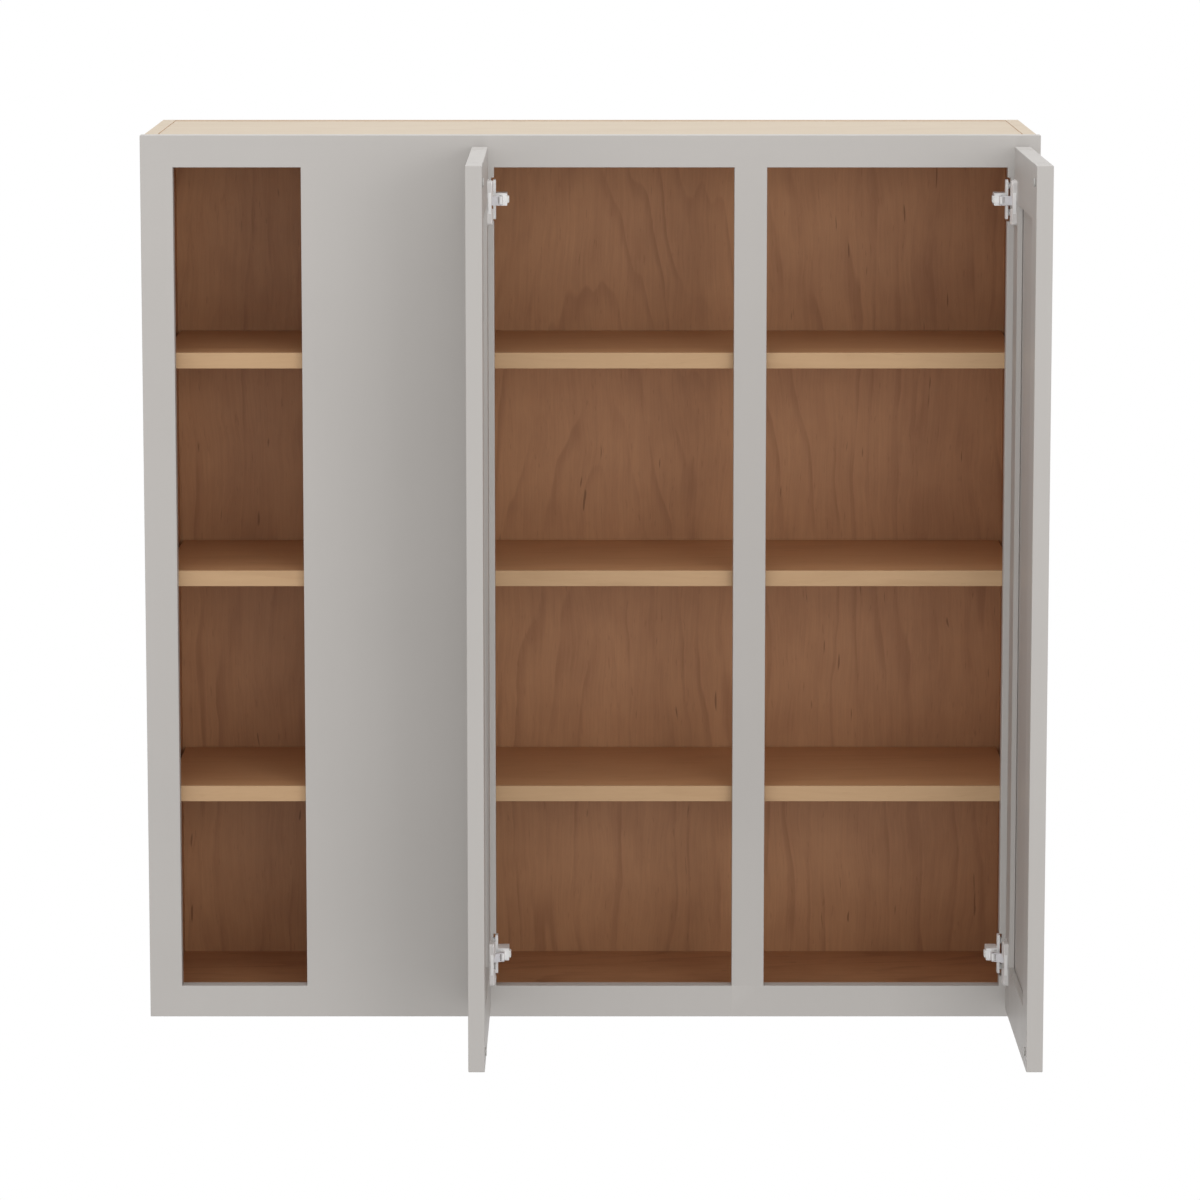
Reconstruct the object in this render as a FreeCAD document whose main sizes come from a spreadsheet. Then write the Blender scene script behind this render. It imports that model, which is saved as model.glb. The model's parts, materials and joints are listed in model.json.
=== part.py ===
import FreeCAD, Part
import os

import Sketcher

# Blind wall cabinet, 42 x 42 x 12 inches, as separate pieces in millimetres.
# X runs to the right seen from the front, Y runs into the wall and Z is up. The origin is the
# centre of the back face, in the wall's plane. Both doors stand open at a right angle.

os.makedirs("parts", exist_ok=True)

Vector = FreeCAD.Vector
Rotation = FreeCAD.Rotation

# Driving dimensions in millimetres, angles in degrees
SIZES = {
    # Face frame and box
    "overall_width": 1066.8,
    "overall_height": 1066.8,
    "overall_depth": 304.8,
    "frame_thickness": 19.05,
    "end_stile_width": 38.7,
    "centre_stile_width": 38.7,
    "rail_width": 38.1,
    "blind_opening_width": 151.6,
    "door_opening_width": 285.05,
    "case_inset": 3.7,
    "side_thickness": 15.9,
    "deck_thickness": 15.9,
    "top_inset": 0.8,
    "bottom_inset": 1.6,
    "back_thickness": 12.7,
    # Shelves and their pins
    "shelf_thickness": 19.0,
    "shelf_end_gap": 2.5,
    "shelf_front_gap": 1.5,
    "shelf_back_gap": 1.5,
    "shelf_edge_thickness": 3.0,
    "pin_radius": 2.5,
    "pin_depth": 9.5,
    "pin_hole_depth": 10.0,
    "pin_hole_clearance": 0.05,
    "pin_tab_length": 9.0,
    "pin_tab_width": 8.0,
    "pin_tab_thickness": 1.5,
    "pin_front_inset": 50.0,
    "pin_back_inset": 70.0,
    "pin_hole_pitch": 32.0,
    # Dowels and screws of the box and frame
    "dowel_radius": 4.0,
    "dowel_length": 24.0,
    "case_dowel_shift": 2.0,
    "frame_dowel_radius": 3.0,
    "frame_dowel_length": 36.0,
    "case_screw_radius": 2.0,
    "case_screw_length": 50.0,
    "case_screw_head_radius": 4.0,
    "case_screw_head_height": 2.5,
    "back_screw_radius": 1.75,
    "back_screw_length": 38.0,
    "back_screw_head_radius": 3.5,
    "back_screw_head_height": 2.0,
    "screw_sink": 0.3,
    "fastener_clearance": 0.05,
    # Doors
    "door_reveal": 12.7,
    "door_thickness": 19.05,
    "door_overlay": 25.8,
    "doors_gap": 3.2,
    "door_frame_gap": 2.0,
    "door_open_offset": 12.5,
    "door_stile_width": 63.5,
    "door_rail_width": 63.5,
    "door_groove_depth": 9.5,
    "door_groove_width": 6.35,
    "door_inner_recess": 6.35,
    "door_bevel": 5.0,
    "door_panel_clearance": 0.1,
    "door_panel_end_gap": 0.8,
    "bumper_radius": 5.0,
    "bumper_thickness": 1.8,
    "bumper_inset": 20.0,
    # Hinges
    "hinge_inset": 76.2,
    "notch_height": 52.5,
    "notch_depth": 3.4,
    "plate_height": 47.0,
    "plate_thickness": 3.2,
    "plate_proud": 2.1,
    "plate_setback": 3.2,
    "plate_depth": 14.0,
    "plate_corner": 1.5,
    "plate_boss_radius": 4.0,
    "plate_screw_rise": 16.0,
    "plate_screw_radius": 1.9,
    "plate_screw_length": 18.0,
    "plate_screw_head_radius": 3.6,
    "plate_screw_head_height": 1.8,
    "arm_height": 14.7,
    "arm_length": 13.4,
    "arm_depth": 27.0,
    "arm_front_wall": 1.2,
    "damper_height": 8.5,
    "damper_depth": 11.0,
    "damper_proud": 2.4,
    "damper_seat": 9.0,
    "damper_clearance": 0.1,
    "adjuster_radius": 2.8,
    "adjuster_length": 4.0,
    "adjuster_inset": 19.0,
    "adjuster_slot": 0.9,
    "adjuster_slot_depth": 1.2,
    "pivot_forward": 10.8,
    "pivot_reach": 7.9,
    "pivot_pin_radius": 1.0,
    "pivot_clearance": 0.05,
    "nose_radius": 2.5,
    "nose_height": 8.4,
    "link_height": 10.8,
    "link_thickness": 3.2,
    "link_length": 22.9,
    "link_open_angle": 55.8,
    "link_tip_radius": 1.9,
    "cup_radius": 17.5,
    "cup_depth": 12.4,
    "cup_wall": 0.8,
    "cup_edge_distance": 3.5,
    "cup_bore_clearance": 0.1,
    "flange_height": 52.0,
    "flange_thickness": 1.2,
    "flange_hinge_inset": 4.5,
    "flange_length": 41.5,
    "flange_corner": 6.0,
    "pad_clearance": 0.8,
    "pad_proud": 4.6,
    "pad_inner_rise": 9.0,
    "pad_corner": 3.0,
    "cup_window_height": 12.4,
    "cup_screw_rise": 21.0,
    "cup_screw_back": 11.0,
    "cup_screw_radius": 1.75,
    "cup_screw_length": 16.0,
    "cup_screw_head_radius": 3.4,
    "cup_screw_head_height": 1.8,
    "drive_slot": 1.0,
    "drive_slot_length": 3.6,
    "drive_slot_depth": 1.0,
    "overrun": 2.0,
}

SHELF_COUNT = 3
PIN_HOLES_PER_SHELF = 5
# Places along a length, as shares of it
DECK_SCREW_SHARES = (0.2, 0.8)
DECK_DOWEL_SHARES = (0.4, 0.6)
BACK_SIDE_SCREW_SHARES = (0.12, 0.37, 0.63, 0.88)
BACK_DECK_SCREW_SHARES = (0.1, 0.3, 0.5, 0.7, 0.9)
FRAME_JOINT_SHARES = (0.25, 0.75)
SIDE_FRAME_SHARES = (0.12, 0.5, 0.88)
DECK_FRAME_SHARES = (0.08, 0.35, 0.58, 0.92)

QUARTER = 90
THIRD = 120
HALF = 180
# Each turn takes a form's own +Z to the direction in its name
TOWARDS_LEFT = Rotation(Vector(0, 1, 0), -QUARTER)
TOWARDS_RIGHT = Rotation(Vector(0, 1, 0), QUARTER)
TOWARDS_WALL = Rotation(Vector(1, 0, 0), -QUARTER)
TOWARDS_FRONT = Rotation(Vector(1, 0, 0), QUARTER)
UPWARDS = Rotation()
# A door and its hinges have their own axes: x away from the wall, y away from the opening.
# The left door is the right door's twin turned upside down.
RIGHT_DOOR_TURN = Rotation(Vector(0, 0, 1), -QUARTER)
LEFT_DOOR_TURN = Rotation(Vector(1, -1, 0), HALF)

doc = FreeCAD.newDocument("blind_wall_cabinet")
sheet = doc.addObject("Spreadsheet::Sheet", "sizes")
nodes = []


class Size:
    """A length with its value and the sheet expression that gives it."""

    def __init__(self, value, text):
        self.value = value
        self.text = text

    def __add__(self, other):
        other = as_size(other)
        return Size(self.value + other.value, f"({self.text} + {other.text})")

    def __sub__(self, other):
        other = as_size(other)
        return Size(self.value - other.value, f"({self.text} - {other.text})")

    def __mul__(self, factor):
        factor = as_size(factor)
        return Size(self.value * factor.value, f"({self.text} * {factor.text})")

    def __truediv__(self, divisor):
        divisor = as_size(divisor)
        return Size(self.value / divisor.value, f"({self.text} / {divisor.text})")

    def __neg__(self):
        return self * -1


def as_size(number):
    """Return a number as a Size, and a Size as it is."""
    return number if isinstance(number, Size) else Size(number, f"({number})")


def fill_sheet():
    """Write the driving dimensions into the sheet and return them as Size objects."""
    found = {}
    for row, (name, value) in enumerate(SIZES.items(), start=1):
        sheet.set(f"A{row}", name)
        sheet.set(f"B{row}", str(value))
        sheet.setAlias(f"B{row}", name)
        found[name] = Size(value, f"sizes.{name}")
    doc.recompute()
    return found


def bind(target, name, size):
    """Give a property its value and, where it is a Size, its expression."""
    size = as_size(size)
    setattr(target, name, size.value)
    target.setExpression(name, size.text)


def place(target, at, turn=UPWARDS):
    """Put an object at a point whose coordinates are sizes, turned by a fixed rotation."""
    at = [as_size(part) for part in at]
    target.Placement = FreeCAD.Placement(Vector(*(part.value for part in at)), turn)
    for axis, part in zip("xyz", at):
        target.setExpression(f"Placement.Base.{axis}", part.text)
    return target


def node(made, label):
    """Name a finished piece and keep it for export."""
    made.Label = label
    nodes.append(made)
    return made


def box(name, low, high):
    """A box between two corners."""
    low = [as_size(part) for part in low]
    high = [as_size(part) for part in high]
    made = doc.addObject("Part::Box", name)
    for side, start, end in zip(("Length", "Width", "Height"), low, high):
        bind(made, side, end - start)
    return place(made, low)


def rod(name, at, turn, radius, length):
    """A cylinder from a point, along the turned Z direction."""
    made = doc.addObject("Part::Cylinder", name)
    bind(made, "Radius", radius)
    bind(made, "Height", length)
    return place(made, at, turn)


def taper(name, at, turn, start_radius, end_radius, length):
    """A cone from a point, along the turned Z direction."""
    made = doc.addObject("Part::Cone", name)
    bind(made, "Radius1", start_radius)
    bind(made, "Radius2", end_radius)
    bind(made, "Height", length)
    return place(made, at, turn)


def joined(name, parts):
    """One solid from several."""
    made = doc.addObject("Part::MultiFuse", name)
    made.Shapes = parts
    made.Refine = True
    return made


def group(name, parts):
    """Several solids as one object, each kept as it is."""
    made = doc.addObject("Part::Compound", name)
    made.Links = parts
    return made


def cut(name, base, tools):
    """The base with every tool taken away."""
    made = doc.addObject("Part::Cut", name)
    made.Base = base
    made.Tool = tools[0] if len(tools) == 1 else group(f"{name}_tools", tools)
    return made


def rounded_plate(name, low, high, corner):
    """A plate between two corners, thin in Y, with its four corners rounded in X and Z."""
    (x_low, y_low, z_low), (x_high, y_high, z_high) = low, high
    parts = [
        box(f"{name}_long", (x_low + corner, y_low, z_low), (x_high - corner, y_high, z_high)),
        box(f"{name}_tall", (x_low, y_low, z_low + corner), (x_high, y_high, z_high - corner)),
    ]
    for x in (x_low + corner, x_high - corner):
        for z in (z_low + corner, z_high - corner):
            parts.append(rod(f"{name}_corner", (x, y_low, z), TOWARDS_WALL, corner, y_high - y_low))
    return joined(name, parts)


def copy_of(form, at, turn, name):
    """A form placed once more."""
    return place(group(name, [form]), at, turn)


def origin_plane(body, role):
    """One of a body's own origin planes."""
    return next(item for item in body.Origin.OriginFeatures if item.Role == role)


def outline(sketch, points):
    """A closed outline whose corners are bound to sizes, measured from the sketch's origin."""
    corners = [(as_size(x), as_size(y)) for x, y in points]
    count = len(corners)
    for index, (x, y) in enumerate(corners):
        end_x, end_y = corners[(index + 1) % count]
        line = Part.LineSegment(Vector(x.value, y.value, 0), Vector(end_x.value, end_y.value, 0))
        sketch.addGeometry(line, False)
    for index in range(count):
        sketch.addConstraint(Sketcher.Constraint("Coincident", index, 2, (index + 1) % count, 1))
    for index, corner in enumerate(corners):
        for kind, axis, size in zip(("DistanceX", "DistanceY"), (-2, -1), corner):
            if size.value == 0:
                sketch.addConstraint(Sketcher.Constraint("PointOnObject", index, 1, axis))
            else:
                rule = Sketcher.Constraint(kind, -1, 1, index, 1, size.value)
                number = sketch.addConstraint(rule)
                sketch.setExpression(f"Constraints[{number}]", size.text)


def padded(name, points, length):
    """A body padded upwards from an outline in its own XY plane."""
    body = doc.addObject("PartDesign::Body", name)
    sketch = body.newObject("Sketcher::SketchObject", f"{name}_outline")
    sketch.AttachmentSupport = [(origin_plane(body, "XY_Plane"), "")]
    sketch.MapMode = "FlatFace"
    outline(sketch, points)
    pad = body.newObject("PartDesign::Pad", f"{name}_pad")
    pad.Profile = sketch
    bind(pad, "Length", length)
    return body


def board(name, x, y, z):
    """A plain board of three sizes."""
    return padded(name, [(0, 0), (x, 0), (x, y), (0, y)], z)


def bored(body, name, at, turn, radius, depth):
    """A round hole in a body, from a point along the turned Z direction."""
    made = body.newObject("PartDesign::SubtractiveCylinder", name)
    bind(made, "Radius", radius)
    bind(made, "Height", depth)
    return place(made, at, turn)


def hollowed(body, name, low, high):
    """A square-cornered recess in a body, between two corners."""
    low = [as_size(part) for part in low]
    high = [as_size(part) for part in high]
    made = body.newObject("PartDesign::SubtractiveBox", name)
    for side, start, end in zip(("Length", "Width", "Height"), low, high):
        bind(made, side, end - start)
    return place(made, low)


def screw_form(name, radius, length, head_radius, head_height, clearance=0, slotted=False):
    """A countersunk screw, its head's face at the origin and its shank along -Z."""
    parts = [
        rod(f"{name}_shank", (0, 0, -length), UPWARDS, radius + clearance, length),
        taper(f"{name}_head", (0, 0, -head_height), UPWARDS, radius + clearance,
              head_radius + clearance, head_height),
    ]
    whole = joined(f"{name}_blank", parts)
    if not slotted:
        return whole
    reach = size["drive_slot_length"] / 2
    half = size["drive_slot"] / 2
    depth = size["drive_slot_depth"]
    over = size["overrun"]
    slots = joined(f"{name}_cross", [
        box(f"{name}_slot_a", (-reach, -half, -depth), (reach, half, over)),
        box(f"{name}_slot_b", (-half, -reach, -depth), (half, reach, over)),
    ])
    return cut(name, whole, [slots])


def dowel_form(name, radius, length, clearance=0):
    """A round dowel centred on the origin, along Z."""
    grown = length + as_size(clearance) * 2
    return rod(name, (0, 0, -grown / 2), UPWARDS, radius + clearance, grown)


size = fill_sheet()

# Places that many pieces share
half_width = size["overall_width"] / 2
top_z = size["overall_height"] / 2
bottom_z = -top_z
front_y = -size["overall_depth"]
frame_back_y = front_y + size["frame_thickness"]
side_depth = size["overall_depth"] - size["frame_thickness"]
case_outer_x = half_width - size["case_inset"]
case_inner_x = case_outer_x - size["side_thickness"]
case_inner_width = case_inner_x * 2
deck_depth = side_depth - size["back_thickness"]
top_deck_z = top_z - size["top_inset"] - size["deck_thickness"]
bottom_deck_z = bottom_z + size["bottom_inset"]
floor_z = bottom_deck_z + size["deck_thickness"]
rail_length = size["overall_width"] - size["end_stile_width"] * 2
inner_stile_height = size["overall_height"] - size["rail_width"] * 2
blind_stile_width = (rail_length - size["blind_opening_width"] - size["centre_stile_width"]
                     - size["door_opening_width"] * 2)
left_opening_x = -half_width + size["end_stile_width"]
blind_stile_x = left_opening_x + size["blind_opening_width"]
left_door_edge_x = blind_stile_x + blind_stile_width
centre_stile_x = left_door_edge_x + size["door_opening_width"]
right_door_edge_x = half_width - size["end_stile_width"]
upper_hinge_z = top_z - size["hinge_inset"]
lower_hinge_z = bottom_z + size["hinge_inset"]
shelf_clear = (top_deck_z - floor_z - size["shelf_thickness"] * SHELF_COUNT) / (SHELF_COUNT + 1)
door_height = size["overall_height"] - size["door_reveal"] * 2
door_width = (right_door_edge_x - left_door_edge_x + size["door_overlay"] * 2
              - size["doors_gap"]) / 2
door_inner_y = size["door_overlay"] - size["door_thickness"]


def shelf_under_z(index):
    """The underside of a shelf, counted from the bottom one."""
    return floor_z + shelf_clear + (shelf_clear + size["shelf_thickness"]) * index


# Fasteners of the box and frame, and the holes that they sit in
loose = size["fastener_clearance"]
case_screw = screw_form("case_screw", size["case_screw_radius"], size["case_screw_length"],
                        size["case_screw_head_radius"], size["case_screw_head_height"],
                        slotted=True)
case_screw_hole = screw_form("case_screw_hole", size["case_screw_radius"],
                             size["case_screw_length"], size["case_screw_head_radius"],
                             size["case_screw_head_height"], loose)
back_screw = screw_form("back_screw", size["back_screw_radius"], size["back_screw_length"],
                        size["back_screw_head_radius"], size["back_screw_head_height"],
                        slotted=True)
back_screw_hole = screw_form("back_screw_hole", size["back_screw_radius"],
                             size["back_screw_length"], size["back_screw_head_radius"],
                             size["back_screw_head_height"], loose)
dowel = dowel_form("dowel", size["dowel_radius"], size["dowel_length"])
dowel_hole = dowel_form("dowel_hole", size["dowel_radius"], size["dowel_length"], loose)
frame_dowel = dowel_form("frame_dowel", size["frame_dowel_radius"], size["frame_dowel_length"])
frame_dowel_hole = dowel_form("frame_dowel_hole", size["frame_dowel_radius"],
                              size["frame_dowel_length"], loose)
sink_rod = rod("screw_sink_rod", (0, 0, 0), UPWARDS, size["case_screw_head_radius"] + loose,
               size["overrun"])

drillings = []


def drive(label, pairs, places):
    """Set a form at each place as one node, and its hole in the drillings."""
    form, hole = pairs
    pieces = []
    for number, (at, turn) in enumerate(places, start=1):
        pieces.append(copy_of(form, at, turn, f"{label}_{number}"))
        drillings.append(copy_of(hole, at, turn, f"{label}_hole_{number}"))
    return node(group(label, pieces), label)


def case_fastener_places():
    """Screws and dowels through the sides into top, bottom and back."""
    screws = []
    dowels = []
    for sign, turn in ((-1, TOWARDS_LEFT), (1, TOWARDS_RIGHT)):
        head_x = (case_outer_x - size["screw_sink"]) * sign
        joint_x = (case_outer_x - size["side_thickness"] - size["case_dowel_shift"]) * sign
        for deck_z in (top_deck_z, bottom_deck_z):
            z = deck_z + size["deck_thickness"] / 2
            for share in DECK_SCREW_SHARES:
                screws.append(((head_x, frame_back_y + deck_depth * share, z), turn))
            for share in DECK_DOWEL_SHARES:
                dowels.append(((joint_x, frame_back_y + deck_depth * share, z), turn))
        for share in BACK_SIDE_SCREW_SHARES:
            z = bottom_z + size["overall_height"] * share
            screws.append(((head_x, -size["back_thickness"] / 2, z), turn))
    return screws, dowels


def frame_fixing_places():
    """Dowels from the box's front edges into the back of the frame."""
    y = frame_back_y + size["dowel_length"] / 2 - size["frame_thickness"] / 2
    side_x = case_outer_x - size["side_thickness"] / 2
    places = []
    for sign in (-1, 1):
        for share in SIDE_FRAME_SHARES:
            z = bottom_z + size["overall_height"] * share
            places.append(((side_x * sign, y, z), TOWARDS_WALL))
    for deck_z in (top_deck_z, bottom_deck_z):
        for share in DECK_FRAME_SHARES:
            x = -case_inner_x + case_inner_width * share
            places.append(((x, y, deck_z + size["deck_thickness"] / 2), TOWARDS_WALL))
    return places


def frame_joint_places():
    """Dowels between the frame's stiles and rails."""
    y = front_y + size["frame_thickness"] / 2
    places = []
    for x in (left_opening_x, right_door_edge_x):
        for rail_z in (bottom_z, top_z - size["rail_width"]):
            for share in FRAME_JOINT_SHARES:
                places.append(((x, y, rail_z + size["rail_width"] * share), TOWARDS_RIGHT))
    for stile_x, width in ((blind_stile_x, blind_stile_width),
                           (centre_stile_x, size["centre_stile_width"])):
        for z in (bottom_z + size["rail_width"], top_z - size["rail_width"]):
            for share in FRAME_JOINT_SHARES:
                places.append(((stile_x + width * share, y, z), UPWARDS))
    return places


def back_screw_places():
    """Screws through the back into the rear edges of top and bottom."""
    places = []
    for deck_z in (top_deck_z, bottom_deck_z):
        for share in BACK_DECK_SCREW_SHARES:
            x = -case_inner_x + case_inner_width * share
            z = deck_z + size["deck_thickness"] / 2
            places.append(((x, -size["screw_sink"], z), TOWARDS_WALL))
    return places


screw_places, dowel_places = case_fastener_places()
drive("case_screws", (case_screw, case_screw_hole), screw_places)
drive("case_dowels", (dowel, dowel_hole), dowel_places + frame_fixing_places())
drive("frame_dowels", (frame_dowel, frame_dowel_hole), frame_joint_places())
drive("back_screws", (back_screw, back_screw_hole), back_screw_places())
for number, (at, turn) in enumerate(screw_places + back_screw_places(), start=1):
    drillings.append(copy_of(sink_rod, at, turn, f"screw_sink_{number}"))
all_drillings = group("all_drillings", drillings)


def drilled(label, blank, at):
    """A board in its place, with every fastener's hole taken out of it."""
    place(blank, at)
    return node(cut(f"{label}_drilled", blank, [all_drillings]), label)


def side_panel(label, sign):
    """A side of the box with its rows of shelf pin holes on the inner face."""
    blank = board(f"{label}_blank", size["side_thickness"], side_depth, size["overall_height"])
    inner_x = size["side_thickness"] if sign < 0 else size["side_thickness"] * 0
    turn = TOWARDS_LEFT if sign < 0 else TOWARDS_RIGHT
    rows = (size["pin_front_inset"], side_depth - size["back_thickness"] - size["pin_back_inset"])
    radius = size["pin_radius"] + size["pin_hole_clearance"]
    first = size["pin_hole_pitch"] * (-(PIN_HOLES_PER_SHELF - 1) / 2)
    for row, y in enumerate(rows):
        for index in range(SHELF_COUNT):
            z = shelf_under_z(index) - bottom_z - size["pin_tab_thickness"] - size["pin_radius"]
            name = f"{label}_row{row}_{index}"
            hole = bored(blank, f"{name}_hole", (inner_x, y, z + first), turn, radius,
                         size["pin_hole_depth"])
            pattern = blank.newObject("PartDesign::LinearPattern", f"{name}_pattern")
            pattern.Originals = [hole]
            pattern.Direction = (origin_plane(blank, "Z_Axis"), [""])
            bind(pattern, "Length", size["pin_hole_pitch"] * (PIN_HOLES_PER_SHELF - 1))
            pattern.Occurrences = PIN_HOLES_PER_SHELF
            blank.Tip = pattern
    corner_x = -case_outer_x if sign < 0 else case_inner_x
    return drilled(label, blank, (corner_x, frame_back_y, bottom_z))


def deck(label, z):
    """The top or bottom panel, between the sides and in front of the back."""
    blank = board(f"{label}_blank", case_inner_width, deck_depth, size["deck_thickness"])
    return drilled(label, blank, (-case_inner_x, frame_back_y, z))


side_panel("left_side_panel", -1)
side_panel("right_side_panel", 1)
deck("top_panel", top_deck_z)
deck("bottom_panel", bottom_deck_z)
drilled("back_panel",
        board("back_panel_blank", case_inner_width, size["back_thickness"], size["overall_height"]),
        (-case_inner_x, -size["back_thickness"], bottom_z))


def notch(blank, name, edge_x, depth_sign, base_z):
    """The hinge notches in a stile's edge, one for each hinge."""
    reach = size["notch_depth"] * depth_sign
    over = size["overrun"] * -depth_sign
    ends = sorted((edge_x + reach, edge_x + over), key=lambda end: end.value)
    for which, hinge_z in (("lower", lower_hinge_z), ("upper", upper_hinge_z)):
        middle = hinge_z - base_z
        half = size["notch_height"] / 2
        hollowed(blank, f"{name}_{which}_notch",
                 (ends[0], -size["overrun"], middle - half),
                 (ends[1], size["frame_thickness"] + size["overrun"], middle + half))


def face_frame():
    """Four stiles and two rails, butted and dowelled."""
    thickness = size["frame_thickness"]
    inner_z = bottom_z + size["rail_width"]
    left_end = board("left_end_blank", size["end_stile_width"], thickness, size["overall_height"])
    drilled("left_end_stile", left_end, (-half_width, front_y, bottom_z))
    right_end = board("right_end_blank", size["end_stile_width"], thickness,
                      size["overall_height"])
    notch(right_end, "right_end", size["end_stile_width"] * 0, 1, bottom_z)
    drilled("right_end_stile", right_end, (right_door_edge_x, front_y, bottom_z))
    blind = board("blind_blank", blind_stile_width, thickness, inner_stile_height)
    notch(blind, "blind", blind_stile_width, -1, inner_z)
    drilled("blind_stile", blind, (blind_stile_x, front_y, inner_z))
    centre = board("centre_blank", size["centre_stile_width"], thickness, inner_stile_height)
    drilled("centre_stile", centre, (centre_stile_x, front_y, inner_z))
    for label, z in (("top_rail", top_z - size["rail_width"]), ("bottom_rail", bottom_z)):
        rail = board(f"{label}_blank", rail_length, thickness, size["rail_width"])
        drilled(label, rail, (left_opening_x, front_y, z))


def shelves():
    """Shelf boards with solid front edges, resting on pins in the sides."""
    width = case_inner_width - size["shelf_end_gap"] * 2
    depth = (deck_depth - size["shelf_front_gap"] - size["shelf_back_gap"]
             - size["shelf_edge_thickness"])
    left_x = -case_inner_x + size["shelf_end_gap"]
    edge_y = frame_back_y + size["shelf_front_gap"]
    for index, level in enumerate(("bottom", "middle", "top")):
        z = shelf_under_z(index)
        shelf = board(f"{level}_shelf", width, depth, size["shelf_thickness"])
        node(place(shelf, (left_x, edge_y + size["shelf_edge_thickness"], z)), f"{level}_shelf")
        edge = board(f"{level}_shelf_edge", width, size["shelf_edge_thickness"],
                     size["shelf_thickness"])
        node(place(edge, (left_x, edge_y, z)), f"{level}_shelf_edge")


def pin_form(name, sign):
    """A shelf pin: a peg into the side at -X or +X and a flat tab under the shelf."""
    drop = -size["pin_tab_thickness"] - size["pin_radius"]
    half = size["pin_tab_width"] / 2
    outwards = TOWARDS_LEFT if sign < 0 else TOWARDS_RIGHT
    reach = size["pin_tab_length"] * -sign
    wall = size["pin_tab_thickness"] * -sign
    zero = reach * 0
    ends = sorted((zero, reach), key=lambda end: end.value)
    walls = sorted((zero, wall), key=lambda end: end.value)
    return joined(name, [
        rod(f"{name}_peg", (0, 0, drop), outwards, size["pin_radius"], size["pin_depth"]),
        box(f"{name}_tab", (ends[0], -half, -size["pin_tab_thickness"]), (ends[1], half, 0)),
        box(f"{name}_wall", (walls[0], -half, drop * 2), (walls[1], half, 0)),
    ])


def shelf_pins():
    """Four pins for each shelf."""
    forms = {-1: pin_form("left_pin", -1), 1: pin_form("right_pin", 1)}
    rows = (frame_back_y + size["pin_front_inset"], -size["back_thickness"] - size["pin_back_inset"])
    pieces = []
    for sign, form in forms.items():
        for index in range(SHELF_COUNT):
            for row, y in enumerate(rows):
                name = f"pin_{index}_{row}_{'left' if sign < 0 else 'right'}"
                pieces.append(copy_of(form, (case_inner_x * sign, y, shelf_under_z(index)),
                                      UPWARDS, name))
    node(group("shelf_pins", pieces), "shelf_pins")


face_frame()
shelves()
shelf_pins()

# Doors, in their own axes: x from the hinge edge, y from the inner face outwards, z up
door_rail_length = door_width - size["door_stile_width"] * 2
bore_z = size["hinge_inset"] - size["door_reveal"]
cup_x = size["cup_edge_distance"] + size["cup_radius"]


def door_stile(name):
    """A stile's section, grooved for the panel and bevelled on the inner face."""
    width = size["door_stile_width"]
    thickness = size["door_thickness"]
    groove_low = size["door_inner_recess"]
    groove_high = groove_low + size["door_groove_width"]
    groove_x = width - size["door_groove_depth"]
    bevel = size["door_bevel"]
    points = [(0, 0), (width - bevel, 0), (width, bevel), (width, groove_low),
              (groove_x, groove_low), (groove_x, groove_high), (width, groove_high),
              (width, thickness), (0, thickness)]
    return padded(name, points, door_height)


def hinge_stile_form():
    """The hinge stile with its two cup bores and their screw holes."""
    stile = door_stile("hinge_stile_form")
    radius = size["cup_radius"] + size["cup_bore_clearance"]
    depth = size["cup_depth"] + size["cup_bore_clearance"]
    screw_x = cup_x + size["cup_screw_back"]
    screw_depth = size["cup_screw_length"] - size["pad_proud"] + loose
    for which, z in (("lower", bore_z), ("upper", door_height - bore_z)):
        bored(stile, f"{which}_cup_bore", (cup_x, 0, z), TOWARDS_WALL, radius, depth)
        for side, rise in (("low", -size["cup_screw_rise"]), ("high", size["cup_screw_rise"])):
            bored(stile, f"{which}_{side}_pilot", (screw_x, 0, z + rise), TOWARDS_WALL,
                  size["cup_screw_radius"] + loose, screw_depth)
    return stile


def door_rail_form():
    """A rail along x, with stub tongues in the stiles' grooves and a coped inner face."""
    width = size["door_rail_width"]
    thickness = size["door_thickness"]
    low = size["door_inner_recess"]
    high = low + size["door_groove_width"]
    tongue = size["door_groove_depth"] - size["door_panel_end_gap"]
    bevel = size["door_bevel"]
    fit = size["door_panel_clearance"] / 2
    start = size["door_stile_width"]
    end = start + door_rail_length
    points = [(start - bevel, 0), (end + bevel, 0), (end, bevel), (end, low + fit),
              (end + tongue, low + fit), (end + tongue, high - fit), (end, high - fit),
              (end, thickness), (start, thickness), (start, high - fit),
              (start - tongue, high - fit), (start - tongue, low + fit), (start, low + fit),
              (start, bevel)]
    blank = padded("door_rail_blank", points, width)
    over = size["overrun"]
    groove = box("door_rail_groove", (-over, low, width - size["door_groove_depth"]),
                 (door_width + over, high, width + over))
    bevel_form = padded("door_rail_bevel", [(0, 0), (bevel, 0), (0, bevel)],
                        door_width + over * 2)
    place(bevel_form, (-over, 0, width), Rotation(Vector(1, 1, 1), THIRD))
    return cut("door_rail_form", blank, [groove, bevel_form])


def door_panel_form():
    """The flat centre panel, held in the grooves on all four sides."""
    slack = size["door_panel_end_gap"]
    depth = size["door_groove_depth"] - slack
    thin = size["door_panel_clearance"]
    made = board("door_panel_form", door_rail_length + depth * 2,
                 size["door_groove_width"] - thin,
                 door_height - size["door_rail_width"] * 2 + depth * 2)
    return place(made, (size["door_stile_width"] - depth, size["door_inner_recess"] + thin / 2,
                        size["door_rail_width"] - depth))


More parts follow.
